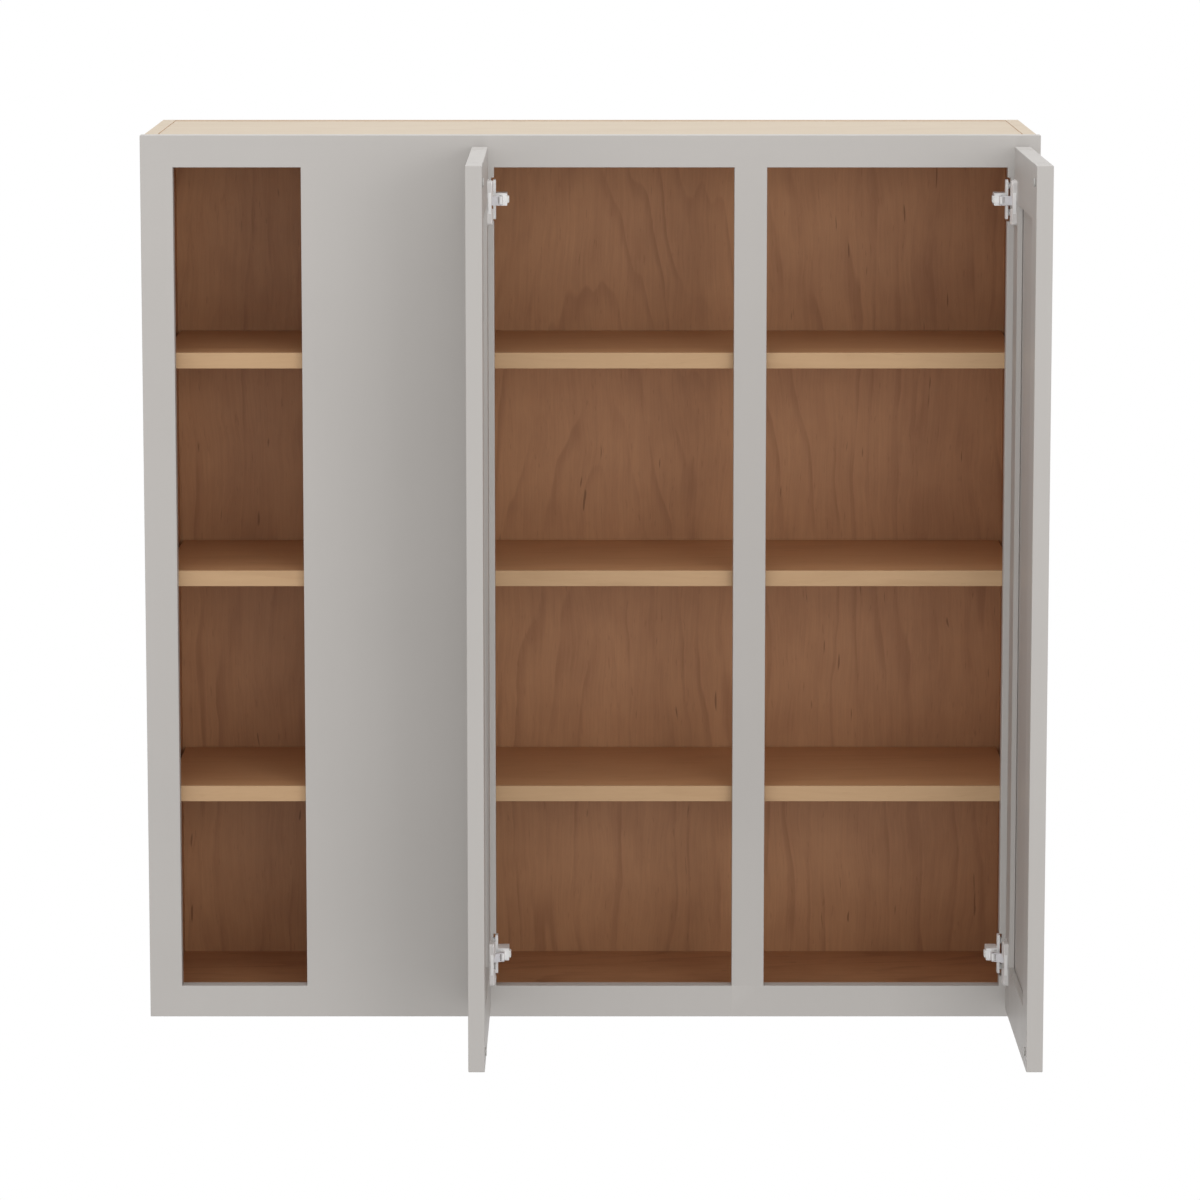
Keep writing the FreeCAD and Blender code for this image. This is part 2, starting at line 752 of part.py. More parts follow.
# Hinge forms, in the axes of one hinge: x forward from the frame's face, y outwards from the
# opening's edge, z up from the hinge's middle. The door part is drawn for the open door.
def plate_form():
    """The frame plate in the stile's notch, standing on two bosses."""
    half = size["plate_height"] / 2
    front_x = -size["plate_setback"]
    back_x = front_x - size["plate_depth"]
    low_y = -size["plate_proud"]
    high_y = low_y + size["plate_thickness"]
    plate = rounded_plate("plate_blank", (back_x, low_y, -half), (front_x, high_y, half),
                          size["plate_corner"])
    middle_x = (front_x + back_x) / 2
    parts = [plate]
    for rise in (-size["plate_screw_rise"], size["plate_screw_rise"]):
        parts.append(rod("plate_boss", (middle_x, low_y, rise), TOWARDS_WALL,
                         size["plate_boss_radius"], size["notch_depth"] - low_y))
    whole = joined("plate_whole", parts)
    hole = screw_form("plate_screw_hole", size["plate_screw_radius"], size["plate_screw_length"],
                      size["plate_screw_head_radius"], size["plate_screw_head_height"], loose)
    holes = [copy_of(hole, (middle_x, low_y, rise), TOWARDS_FRONT, "plate_hole")
             for rise in (-size["plate_screw_rise"], size["plate_screw_rise"])]
    return cut("plate_form", whole, holes)


def arm_form():
    """The arm: a housing on the plate, a neck forward and the nose that holds the pivot pin."""
    half = size["arm_height"] / 2
    root_y = -size["plate_proud"]
    end_y = root_y - size["arm_length"]
    front_x = -size["plate_setback"]
    back_x = front_x - size["arm_depth"]
    nose_half = size["nose_height"] / 2
    nose_y = -size["pivot_reach"]
    radius = size["nose_radius"]
    whole = joined("arm_blank", [
        box("arm_housing", (back_x, end_y, -half), (front_x, root_y, half)),
        box("arm_neck", (front_x, nose_y - radius, -nose_half),
            (size["pivot_forward"], nose_y + radius, nose_half)),
        rod("arm_nose", (size["pivot_forward"], nose_y, -nose_half), UPWARDS, radius,
            size["nose_height"]),
    ])
    gap = size["damper_clearance"]
    damper_half = size["damper_height"] / 2 + gap
    pocket_front = front_x - size["arm_front_wall"]
    pocket_back = pocket_front - size["damper_depth"] - gap * 2
    pocket = box("arm_pocket", (pocket_back, end_y - size["overrun"], -damper_half),
                 (pocket_front, end_y + size["damper_seat"], damper_half))
    pin_bore = rod("arm_pin_bore", (size["pivot_forward"], nose_y, -half), UPWARDS,
                   size["pivot_pin_radius"], size["arm_height"])
    seat = rod("arm_adjuster_seat", (front_x - size["adjuster_inset"], end_y, 0), TOWARDS_WALL,
               size["adjuster_radius"] + loose, size["adjuster_length"])
    return cut("arm_form", whole, [pocket, pin_bore, seat])


def damper_form():
    """The soft-close cartridge, standing out of the arm's end."""
    end_y = -size["plate_proud"] - size["arm_length"]
    gap = size["damper_clearance"]
    front_x = -size["plate_setback"] - size["arm_front_wall"] - gap
    half = size["damper_height"] / 2
    return box("damper_form", (front_x - size["damper_depth"], end_y - size["damper_proud"], -half),
               (front_x, end_y + size["damper_seat"], half))


def adjuster_form():
    """The side adjusting screw in the arm's end, with a plain slot."""
    end_y = -size["plate_proud"] - size["arm_length"]
    x = -size["plate_setback"] - size["adjuster_inset"]
    radius = size["adjuster_radius"]
    half = size["adjuster_slot"] / 2
    body = rod("adjuster_body", (x, end_y, 0), TOWARDS_WALL, radius, size["adjuster_length"])
    slot = box("adjuster_slot", (x - half, end_y - size["overrun"], -radius * 2),
               (x + half, end_y + size["adjuster_slot_depth"], radius * 2))
    return cut("adjuster_form", body, [slot])


def link_form():
    """The link: two cheeks round the nose and one solid shank towards the cup."""
    half = size["link_height"] / 2
    thin = size["link_thickness"] / 2
    radius = size["nose_radius"]
    inner = size["nose_height"] / 2 + size["pivot_clearance"]
    start = radius * 2
    whole = joined("link_blank", [
        rod("link_knuckle", (0, 0, -half), UPWARDS, radius, size["link_height"]),
        box("link_shank", (0, -thin, -half), (size["link_length"], thin, half)),
        rod("link_tip", (size["link_length"], 0, -half), UPWARDS, size["link_tip_radius"],
            size["link_height"]),
    ])
    fork = box("link_fork", (-start, -start, -inner), (start, start, inner))
    bore = rod("link_bore", (0, 0, -half * 2), UPWARDS,
               size["pivot_pin_radius"] + size["pivot_clearance"], size["link_height"] * 2)
    made = cut("link_form", whole, [fork, bore])
    place(made, (size["pivot_forward"], -size["pivot_reach"], 0),
          Rotation(Vector(0, 0, 1), size["link_open_angle"].value))
    made.setExpression("Placement.Rotation.Angle", size["link_open_angle"].text)
    return made


def cup_form():
    """The door cup with its flange and the two raised pads that hold the screws."""
    x = size["door_open_offset"] + cup_x
    half = size["flange_height"] / 2
    flange_x = size["door_open_offset"] + size["flange_hinge_inset"]
    end_x = flange_x + size["flange_length"]
    pad_x = (size["door_open_offset"] + size["door_overlay"] - size["notch_depth"]
             + size["pad_clearance"])
    face_y = door_inner_y - size["flange_thickness"]
    pad_y = door_inner_y - size["pad_proud"]
    inner = size["cup_radius"] - size["cup_wall"]
    whole = joined("cup_blank", [
        rod("cup_outside", (x, face_y, 0), TOWARDS_WALL, size["cup_radius"],
            size["cup_depth"] + size["flange_thickness"]),
        rounded_plate("cup_flange", (flange_x, face_y, -half), (end_x, door_inner_y, half),
                      size["flange_corner"]),
        rounded_plate("cup_upper_pad", (pad_x, pad_y, size["pad_inner_rise"]),
                      (end_x, door_inner_y, half), size["pad_corner"]),
        rounded_plate("cup_lower_pad", (pad_x, pad_y, -half),
                      (end_x, door_inner_y, -size["pad_inner_rise"]), size["pad_corner"]),
    ])
    over = size["overrun"]
    cavity = rod("cup_cavity", (x, pad_y - over, 0), TOWARDS_WALL, inner,
                 size["cup_depth"] + size["pad_proud"] + over - size["cup_wall"])
    window_half = size["cup_window_height"] / 2
    window = box("cup_window", (flange_x - over, pad_y - over, -window_half),
                 (x, door_inner_y, window_half))
    tools = [cavity, window]
    hole = screw_form("cup_screw_hole", size["cup_screw_radius"], size["cup_screw_length"],
                      size["cup_screw_head_radius"], size["cup_screw_head_height"], loose)
    for rise in (-size["cup_screw_rise"], size["cup_screw_rise"]):
        tools.append(copy_of(hole, (x + size["cup_screw_back"], pad_y, rise), TOWARDS_FRONT,
                             "cup_hole"))
    return cut("cup_form", whole, tools)


plate_screw = screw_form("plate_screw", size["plate_screw_radius"], size["plate_screw_length"],
                         size["plate_screw_head_radius"], size["plate_screw_head_height"],
                         slotted=True)
cup_screw = screw_form("cup_screw", size["cup_screw_radius"], size["cup_screw_length"],
                       size["cup_screw_head_radius"], size["cup_screw_head_height"],
                       slotted=True)
pin_height = size["link_height"] + size["pivot_pin_radius"]
pivot_pin = rod("pivot_pin", (size["pivot_forward"], -size["pivot_reach"], -pin_height / 2),
                UPWARDS, size["pivot_pin_radius"], pin_height)
plate_middle_x = -size["plate_setback"] - size["plate_depth"] / 2
forms = {
    "plate": plate_form(),
    "arm": arm_form(),
    "damper": damper_form(),
    "link": link_form(),
    "cup": cup_form(),
}
adjuster = adjuster_form()
plate_screw_pair = group("plate_screw_pair", [
    copy_of(plate_screw, (plate_middle_x, -size["plate_proud"], rise), TOWARDS_FRONT, "plate_screw")
    for rise in (-size["plate_screw_rise"], size["plate_screw_rise"])
])
cup_screw_pair = group("cup_screw_pair", [
    copy_of(cup_screw, (size["door_open_offset"] + cup_x + size["cup_screw_back"],
                        door_inner_y - size["pad_proud"], rise), TOWARDS_FRONT, "cup_screw")
    for rise in (-size["cup_screw_rise"], size["cup_screw_rise"])
])

hinge_stile = hinge_stile_form()
lock_stile = door_stile("lock_stile_form")
door_rail = door_rail_form()
door_panel = door_panel_form()
bumper = rod("bumper_form", (0, 0, 0), TOWARDS_FRONT, size["bumper_radius"],
             size["bumper_thickness"])
upside_down = Rotation(Vector(0, 1, 0), HALF)


def door(side, corner, turn):
    """A door of five pieces with its bumpers, from forms in the door's own axes."""
    first, second = ("top", "bottom") if turn is LEFT_DOOR_TURN else ("bottom", "top")
    pieces = {
        "hinge_stile": hinge_stile,
        "lock_stile": place(group(f"{side}_lock_stile_turned", [lock_stile]),
                            (door_width, 0, door_height), upside_down),
        f"{first}_rail": door_rail,
        f"{second}_rail": place(group(f"{side}_{second}_rail_turned", [door_rail]),
                                (door_width, 0, door_height), upside_down),
        "panel": door_panel,
    }
    far_x = door_width - size["bumper_inset"]
    pieces["bumpers"] = group(f"{side}_bumper_pair", [
        copy_of(bumper, (far_x, 0, z), UPWARDS, f"{side}_bumper")
        for z in (size["bumper_inset"], door_height - size["bumper_inset"])
    ])
    for part, form in pieces.items():
        label = f"{side}_door_{part}"
        node(copy_of(form, corner, turn, label), label)


def hinges(side, edge_x, turn):
    """Both hinges of a door: single pieces for each, and the door's screws as one group."""
    cup_screws = []
    for level, z in (("upper", upper_hinge_z), ("lower", lower_hinge_z)):
        at = (edge_x, front_y, z)
        for part, form in forms.items():
            label = f"{side}_{level}_hinge_{part}"
            node(copy_of(form, at, turn, label), label)
        cup_screws.append(copy_of(cup_screw_pair, at, turn, f"{side}_{level}_cup_screw_pair"))
        hinge_groups["hinge_plate_screws"].append(
            copy_of(plate_screw_pair, at, turn, f"{side}_{level}_plate_screw_pair"))
        hinge_groups["hinge_adjusting_screws"].append(
            copy_of(adjuster, at, turn, f"{side}_{level}_adjuster"))
        hinge_groups["hinge_pivot_pins"].append(
            copy_of(pivot_pin, at, turn, f"{side}_{level}_pivot_pin"))
    label = f"{side}_cup_screws"
    node(group(label, cup_screws), label)


hinge_groups = {"hinge_plate_screws": [], "hinge_adjusting_screws": [], "hinge_pivot_pins": []}
door_y = front_y - size["door_open_offset"]
door("left", (left_door_edge_x - door_inner_y, door_y, top_z - size["door_reveal"]), LEFT_DOOR_TURN)
door("right", (right_door_edge_x + door_inner_y, door_y, bottom_z + size["door_reveal"]),
     RIGHT_DOOR_TURN)
hinges("left", left_door_edge_x, LEFT_DOOR_TURN)
hinges("right", right_door_edge_x, RIGHT_DOOR_TURN)
for label, pieces in hinge_groups.items():
    node(group(label, pieces), label)


def drill_for_plate_screws(labels):
    """Bore the stiles for the hinge plates' screws, after the frame is in place."""
    hole = rod("stile_pilot", (0, 0, 0), UPWARDS, size["plate_screw_radius"] + loose,
               size["plate_screw_length"] + loose)
    for label, edge_x, turn in labels:
        direction = TOWARDS_LEFT if turn is LEFT_DOOR_TURN else TOWARDS_RIGHT
        sign = -1 if turn is LEFT_DOOR_TURN else 1
        start_x = edge_x - size["plate_proud"] * sign
        tools = []
        for hinge_z in (lower_hinge_z, upper_hinge_z):
            for rise in (-size["plate_screw_rise"], size["plate_screw_rise"]):
                at = (start_x, front_y - plate_middle_x, hinge_z + rise)
                tools.append(copy_of(hole, at, direction, f"{label}_pilot"))
        stile = next(made for made in nodes if made.Label == label)
        stile.Label = f"{label}_without_pilots"
        nodes.remove(stile)
        node(cut(f"{label}_finished", stile, tools), label)


drill_for_plate_screws((
    ("blind_stile", left_door_edge_x, LEFT_DOOR_TURN),
    ("right_end_stile", right_door_edge_x, RIGHT_DOOR_TURN),
))

doc.recompute()

for item in doc.Objects:
    if "Invalid" in item.State or "Error" in item.State:
        raise RuntimeError(f"{item.Label} failed: {item.State}")
for made in nodes:
    if made.Shape.isNull() or not made.Shape.isValid() or not made.Shape.Solids:
        raise RuntimeError(f"{made.Label} has no valid solid")
for made in nodes:
    made.Shape.exportStep(f"parts/{made.Label}.step")
    print(made.Label, len(made.Shape.Solids), "solids", round(made.Shape.Volume), "mm3")
print(len(nodes), "nodes")
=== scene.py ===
import json
import logging
import math
from dataclasses import dataclass, field
from enum import Enum
from typing import Callable, Iterable, Sequence

import bmesh
import bpy
from mathutils import Matrix, Vector

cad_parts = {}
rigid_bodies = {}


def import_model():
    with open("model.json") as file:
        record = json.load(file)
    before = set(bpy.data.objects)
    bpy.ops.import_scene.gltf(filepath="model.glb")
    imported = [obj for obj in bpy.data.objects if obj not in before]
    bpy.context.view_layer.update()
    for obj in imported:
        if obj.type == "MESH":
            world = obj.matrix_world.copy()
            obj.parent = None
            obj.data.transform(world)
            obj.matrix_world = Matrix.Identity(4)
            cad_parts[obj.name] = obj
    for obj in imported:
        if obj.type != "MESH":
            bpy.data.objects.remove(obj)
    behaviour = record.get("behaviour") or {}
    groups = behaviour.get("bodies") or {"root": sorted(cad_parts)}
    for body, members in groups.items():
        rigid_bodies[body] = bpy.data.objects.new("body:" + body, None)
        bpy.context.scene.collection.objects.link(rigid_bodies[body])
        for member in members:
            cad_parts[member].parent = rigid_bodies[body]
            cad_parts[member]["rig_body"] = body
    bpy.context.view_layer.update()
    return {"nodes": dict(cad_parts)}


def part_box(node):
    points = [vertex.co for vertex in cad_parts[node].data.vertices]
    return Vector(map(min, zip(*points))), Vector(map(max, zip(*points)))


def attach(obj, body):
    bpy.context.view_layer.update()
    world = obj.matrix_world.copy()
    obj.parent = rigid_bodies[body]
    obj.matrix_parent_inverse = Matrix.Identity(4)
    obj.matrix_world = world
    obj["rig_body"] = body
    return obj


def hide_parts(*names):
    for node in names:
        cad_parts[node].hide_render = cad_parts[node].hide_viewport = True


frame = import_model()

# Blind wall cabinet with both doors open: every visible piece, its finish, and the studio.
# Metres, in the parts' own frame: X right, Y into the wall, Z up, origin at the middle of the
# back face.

log = logging.getLogger("wall_cabinet")

Triple = tuple[float, float, float]
Socket = bpy.types.NodeSocket
Chooser = Callable[[Vector, Vector], bool]

MM = 0.001
SMOOTH_UNDER = math.radians(40)
SHARP_OVER = math.radians(50)
FLAT_UNDER = math.radians(1)
MERGE_DISTANCE = 0.002 * MM
EDGE_REACH = 0.02 * MM
FACE_REACH = 1.0 * MM
ALONG_AXIS = 0.999
MOSTLY_ALONG = 0.5
ROUND_PROFILE = 0.5


class Side(Enum):
    """The two doors, named as seen from the front."""

    LEFT = "left"
    RIGHT = "right"

    @property
    def sign(self) -> float:
        """The way along X from the openings to this door's hinges."""
        return 1.0 if self is Side.RIGHT else -1.0


class Level(Enum):
    """The two hinges of a door."""

    UPPER = "upper"
    LOWER = "lower"


class Grain(Enum):
    """The direction that the wood's fibres run in, with the turn that brings it to Z."""

    UPRIGHT = (0.0, 0.0, 0.0)
    ACROSS = (0.0, -math.pi / 2, 0.0)


SCREEN_STEPS = 255
SCREEN_TOE = 0.04045
SCREEN_TOE_SLOPE = 12.92
SCREEN_OFFSET = 0.055
SCREEN_POWER = 2.4


def linear(red: int, green: int, blue: int) -> Triple:
    """Turn a screen colour into the linear values that the shader takes.

    Args:
        red: From 0 to 255.
        green: From 0 to 255.
        blue: From 0 to 255.

    Returns:
        The three linear values from 0 to 1.
    """
    def one(value: int) -> float:
        """One channel."""
        share = value / SCREEN_STEPS
        return (share / SCREEN_TOE_SLOPE if share <= SCREEN_TOE
                else ((share + SCREEN_OFFSET) / (1 + SCREEN_OFFSET)) ** SCREEN_POWER)

    return one(red), one(green), one(blue)


@dataclass(frozen=True)
class Pattern:
    """A noise pattern: its cells per metre along X, Y and Z, its octaves and roughness."""

    cells: Triple
    detail: float = 2.0
    roughness: float = 0.5


class Wiring:
    """Adds shader nodes to one tree and joins them."""

    NODES_PER_ROW = 12
    NODE_WIDTH = 180
    NODE_HEIGHT = 260
    # The mix node has several sockets of each name: these are the ones for colours.
    MIX_INPUTS = (0, 6, 7)
    MIX_OUTPUT = 2

    def __init__(self, tree: bpy.types.NodeTree) -> None:
        """Start with an empty tree."""
        self.tree = tree
        self.count = 0

    def add(self, kind: str, **settings: object) -> bpy.types.Node:
        """Add a node.

        Args:
            kind: The node's type name.
            settings: Properties of the node.

        Returns:
            The new node.
        """
        made = self.tree.nodes.new(kind)
        row, column = divmod(self.count, self.NODES_PER_ROW)
        made.location = (self.NODE_WIDTH * column, -self.NODE_HEIGHT * row)
        self.count += 1
        for name, value in settings.items():
            setattr(made, name, value)
        return made

    def feed(self, socket: Socket, value: object) -> None:
        """Join another socket to this one, or give it a plain value.

        Args:
            socket: The input.
            value: The other socket, or a number, a vector or a colour.
        """
        if isinstance(value, bpy.types.NodeSocket):
            self.tree.links.new(value, socket)
        elif isinstance(value, tuple) and len(value) == 3 and socket.type == "RGBA":
            socket.default_value = (*value, 1.0)
        else:
            socket.default_value = value

    def feed_named(self, node: bpy.types.Node, values: dict[str, object]) -> None:
        """Feed inputs of a node by their names."""
        for name, value in values.items():
            self.feed(node.inputs[name], value)

    def step(self, kind: str, values: Iterable[object], **settings: object) -> Socket:
        """Add a node and feed its inputs in their order.

        Args:
            kind: The node's type name.
            values: Sockets or plain values.
            settings: Properties of the node.

        Returns:
            The node's first output.
        """
        made = self.add(kind, **settings)
        for socket, value in zip(made.inputs, values):
            self.feed(socket, value)
        return made.outputs[0]

    def math(self, operation: str, *values: object, clamp: bool = False) -> Socket:
        """One step of arithmetic on sockets or numbers."""
        return self.step("ShaderNodeMath", values, operation=operation, use_clamp=clamp)

    def vector_math(self, operation: str, *values: object) -> Socket:
        """One step of arithmetic on vectors."""
        return self.step("ShaderNodeVectorMath", values, operation=operation)

    def mix(self, share: object, first: object, second: object) -> Socket:
        """Mix two colours.

        Args:
            share: How much of the second colour there is.
            first: The first colour.
            second: The second colour.

        Returns:
            The mixed colour.
        """
        made = self.add("ShaderNodeMix", data_type="RGBA")
        for index, value in zip(self.MIX_INPUTS, (share, first, second)):
            self.feed(made.inputs[index], value)
        return made.outputs[self.MIX_OUTPUT]

    def noise(self, vector: object, pattern: Pattern, output: str = "Fac") -> Socket:
        """Add a noise pattern.

        Args:
            vector: Where the pattern is looked up.
            pattern: Its cells and octaves.
            output: The name of the output.

        Returns:
            A value from 0 to 1, or the colour if that is the output.
        """
        made = self.add("ShaderNodeTexNoise")
        self.feed_named(made, {"Vector": self.scaled(vector, pattern.cells), "Scale": 1.0,
                               "Detail": pattern.detail, "Roughness": pattern.roughness})
        return made.outputs[output]

    def ramp(self, value: object, start: float, end: float, low: float = 0.0,
             high: float = 1.0) -> Socket:
        """Take one range smoothly to another.

        Args:
            value: A value in the first range.
            start: Where the first range starts.
            end: Where the first range ends.
            low: What its start becomes.
            high: What its end becomes.

        Returns:
            The value in the second range.
        """
        made = self.add("ShaderNodeMapRange", interpolation_type="SMOOTHSTEP")
        self.feed_named(made, {"Value": value, "From Min": start, "From Max": end,
                               "To Min": low, "To Max": high})
        return made.outputs[0]

    def scaled(self, vector: object, factors: Triple) -> Socket:
        """Stretch a vector by three factors."""
        return self.vector_math("MULTIPLY", vector, factors)


class Effect:
    """A shader node group that several finishes use, built once."""

    NAME = ""
    INPUTS: tuple[tuple[str, str], ...] = ()
    OUTPUTS = (("Color", "NodeSocketColor"), ("Roughness", "NodeSocketFloat"),
               ("Height", "NodeSocketFloat"))

    @classmethod
    def tree(cls) -> bpy.types.NodeTree:
        """Build the group the first time it is asked for.

        Returns:
            The group.
        """
        found = bpy.data.node_groups.get(cls.NAME)
        if found:
            return found
        made = bpy.data.node_groups.new(cls.NAME, "ShaderNodeTree")
        for way, sockets in (("INPUT", cls.INPUTS), ("OUTPUT", cls.OUTPUTS)):
            for name, kind in sockets:
                made.interface.new_socket(name=name, in_out=way, socket_type=kind)
        wiring = Wiring(made)
        start = wiring.add("NodeGroupInput")
        results = cls.wire(wiring, start.outputs)
        end = wiring.add("NodeGroupOutput")
        for (name, _), result in zip(cls.OUTPUTS, results):
            wiring.feed(end.inputs[name], result)
        return made

    @classmethod
    def wire(cls, wiring: Wiring, given: bpy.types.NodeOutputs) -> tuple[Socket, ...]:
        """Build the group's inside and return its colour, roughness and height."""
        raise NotImplementedError


class MapleFigure(Effect):
    """Sliced maple: rings in tall arches, fine fibres, short flecks and mineral streaks.

    Fibres run along Z, and the arches rise about the vector's own zero. The ramps give the
    range of a value and what it becomes.
    """

    NAME = "maple_figure"
    INPUTS = (("Vector", "NodeSocketVector"), ("Pale", "NodeSocketColor"),
              ("Deep", "NodeSocketColor"), ("Streak", "NodeSocketColor"),
              ("Figure", "NodeSocketFloat"), ("Taper", "NodeSocketFloat"),
              ("Streaks", "NodeSocketFloat"), ("Gloss Roughness", "NodeSocketFloat"))
    BENDS = Pattern((9.0, 9.0, 5.0), 3.0)
    BEND_MIDDLE = (0.5, 0.5, 0.5)
    BEND_REACH = (0.034, 0.02, 0.0)
    HEART_ROUNDING = 0.00014
    LEAN_RAMP = (0.02, 0.35, 1.3, 0.3)
    ARCH_STEEPNESS = 2.4
    DEPTH_WEIGHT = 0.6
    RINGS_PER_METRE = 27.0
    DRIFT = Pattern((14.0, 14.0, 1.6))
    DRIFT_RINGS = 3.4
    FIRST_RING = 40.0
    LATE_WOOD_RAMP = (0.6, 0.93)
    RING_END_RAMP = (0.93, 1.0, 1.0, 0.0)
    PATCHES = Pattern((17.0, 17.0, 6.0), 2.0, 0.6)
    PATCH_RAMP = (0.38, 0.66, 0.1, 1.0)
    SEASONS = Pattern((26.0, 26.0, 1.4))
    FIBRES = Pattern((480.0, 480.0, 11.0), 2.0, 0.7)
    STRANDS = Pattern((210.0, 210.0, 7.0), 3.0, 0.7)
    FLECKS = Pattern((420.0, 420.0, 55.0), 1.0)
    FLECK_RAMP = (0.66, 0.8)
    SHEEN = Pattern((24.0, 24.0, 16.0), 3.0)
    CRACKS = Pattern((210.0, 210.0, 22.0), 1.0, 0.3)
    CRACK_RAMP = (0.75, 0.82)
    TONE_WEIGHTS = (0.44, 0.3, 0.4, 0.55, 0.3, 0.65)
    TONE_RAMP = (0.45, 1.65)
    FIBRE_DULLNESS = 0.12
    FIBRE_HEIGHT = 0.6
    CRACK_DEPTH = 0.6
    FLECK_DEPTH = 0.3

    @classmethod
    def wire(cls, wiring: Wiring, given: bpy.types.NodeOutputs) -> tuple[Socket, ...]:
        """Add up the kinds of figure to one tone between the pale and the deep colour.

        Args:
            wiring: The group's wiring.
            given: The group's inputs.

        Returns:
            Colour, roughness and height.
        """
        grain = given["Vector"]
        shift = wiring.vector_math("SUBTRACT", wiring.noise(grain, cls.BENDS, "Color"),
                                   cls.BEND_MIDDLE)
        bent = wiring.vector_math("ADD", grain, wiring.scaled(shift, cls.BEND_REACH))
        lines = cls.ring_lines(wiring, grain, bent, given["Taper"])
        seasons = wiring.noise(bent, cls.SEASONS)
        fibres = wiring.noise(bent, cls.FIBRES)
        strands = wiring.noise(bent, cls.STRANDS)
        flecks = wiring.ramp(wiring.noise(grain, cls.FLECKS), *cls.FLECK_RAMP)
        # Painted sheen: broad patches of lighter and darker tone in the colour stand in for
        # the shimmer of maple in light.
        sheen = wiring.noise(grain, cls.SHEEN)
        cracks = wiring.ramp(wiring.noise(bent, cls.CRACKS), *cls.CRACK_RAMP)
        tone: object = 0.0
        for part, weight in zip((lines, seasons, fibres, strands, flecks, sheen),
                                cls.TONE_WEIGHTS):
            tone = wiring.math("MULTIPLY_ADD", part, weight, tone)
        share = wiring.math("MULTIPLY", wiring.ramp(tone, *cls.TONE_RAMP), given["Figure"],
                            clamp=True)
        wood = wiring.mix(share, given["Pale"], given["Deep"])
        wood = wiring.mix(wiring.math("MULTIPLY", cracks, given["Streaks"]), wood,
                          given["Streak"])
        dull = wiring.math("MULTIPLY_ADD", fibres, cls.FIBRE_DULLNESS,
                           given["Gloss Roughness"])
        sunk = wiring.math("ADD", wiring.math("MULTIPLY", cracks, cls.CRACK_DEPTH),
                           wiring.math("MULTIPLY", flecks, cls.FLECK_DEPTH))
        raised = wiring.math("MULTIPLY", fibres, cls.FIBRE_HEIGHT)
        return wood, dull, wiring.math("SUBTRACT", raised, sunk)

    @classmethod
    def ring_lines(cls, wiring: Wiring, grain: Socket, bent: Socket, taper: Socket) -> Socket:
        """Draw the edge of each year's ring, stronger in some patches.

        Args:
            wiring: The group's wiring.
            grain: The straight vector.
            bent: The vector that wanders as the fibres do.
            taper: How fast the rings close along the grain.

        Returns:
            From 0 to 1, with 1 on a line.
        """
        parts = wiring.add("ShaderNodeSeparateXYZ")
        wiring.feed(parts.inputs[0], bent)
        across, depth, along = parts.outputs
        from_heart = wiring.math("SQRT", wiring.math(
            "ADD", wiring.math("MULTIPLY", across, across), cls.HEART_ROUNDING))
        leaning = wiring.math("MULTIPLY", taper, wiring.ramp(from_heart, *cls.LEAN_RAMP))
        reach = wiring.math("MULTIPLY", wiring.math(
            "TANH", wiring.math("MULTIPLY", along, cls.ARCH_STEEPNESS)),
            1.0 / cls.ARCH_STEEPNESS)
        ring = wiring.math("ADD", wiring.math("MULTIPLY_ADD", reach, leaning, from_heart),
                           wiring.math("MULTIPLY", depth, cls.DEPTH_WEIGHT))
        drift = wiring.math("MULTIPLY_ADD", wiring.noise(bent, cls.DRIFT), cls.DRIFT_RINGS,
                            cls.FIRST_RING)
        year = wiring.math("FRACT", wiring.math("MULTIPLY_ADD", ring, cls.RINGS_PER_METRE,
                                                drift))
        late = wiring.math("MULTIPLY", wiring.ramp(year, *cls.LATE_WOOD_RAMP),
                           wiring.ramp(year, *cls.RING_END_RAMP))
        patches = wiring.ramp(wiring.noise(grain, cls.PATCHES), *cls.PATCH_RAMP)
        return wiring.math("MULTIPLY", late, patches)


class SprayedCoat(Effect):
    """A sprayed paint film: faint mottling, orange peel and a little handling."""

    NAME = "sprayed_coat"
    INPUTS = (("Vector", "NodeSocketVector"), ("Paint", "NodeSocketColor"),
              ("Shade", "NodeSocketColor"), ("Gloss Roughness", "NodeSocketFloat"))
    CLOUDS = Pattern((6.0,) * 3, 3.0)
    CLOUD_RAMP = (0.3, 0.7, 0.0, 0.5)
    STREAMS = Pattern((90.0, 90.0, 5.0), 2.0, 0.6)
    STREAM_WEIGHT = 0.35
    HANDLING = Pattern((14.0,) * 3, 4.0, 0.6)
    HANDLING_DULLNESS = 0.16
    PEEL = Pattern((420.0,) * 3, 2.0, 0.4)
    PEEL_HEIGHT = 0.8
    SPECKS = Pattern((700.0,) * 3, 1.0)
    SPECK_HEIGHT = 0.2

    @classmethod
    def wire(cls, wiring: Wiring, given: bpy.types.NodeOutputs) -> tuple[Socket, ...]:
        """Lay broad clouds under the colour, and small cells for the peel.

        Args:
            wiring: The group's wiring.
            given: The group's inputs.

        Returns:
            Colour, roughness and height.
        """
        place = given["Vector"]
        clouds = wiring.ramp(wiring.noise(place, cls.CLOUDS), *cls.CLOUD_RAMP)
        blend = wiring.math("MULTIPLY_ADD", wiring.noise(place, cls.STREAMS),
                            cls.STREAM_WEIGHT, clouds)
        paint = wiring.mix(blend, given["Paint"], given["Shade"])
        cleanest = wiring.math("SUBTRACT", given["Gloss Roughness"],
                               cls.HANDLING_DULLNESS / 2)
        dull = wiring.math("MULTIPLY_ADD", wiring.noise(place, cls.HANDLING),
                           cls.HANDLING_DULLNESS, cleanest)
        specks = wiring.math("MULTIPLY", wiring.noise(place, cls.SPECKS), cls.SPECK_HEIGHT)
        height = wiring.math("MULTIPLY_ADD", wiring.noise(place, cls.PEEL), cls.PEEL_HEIGHT,
                             specks)
        return paint, dull, height


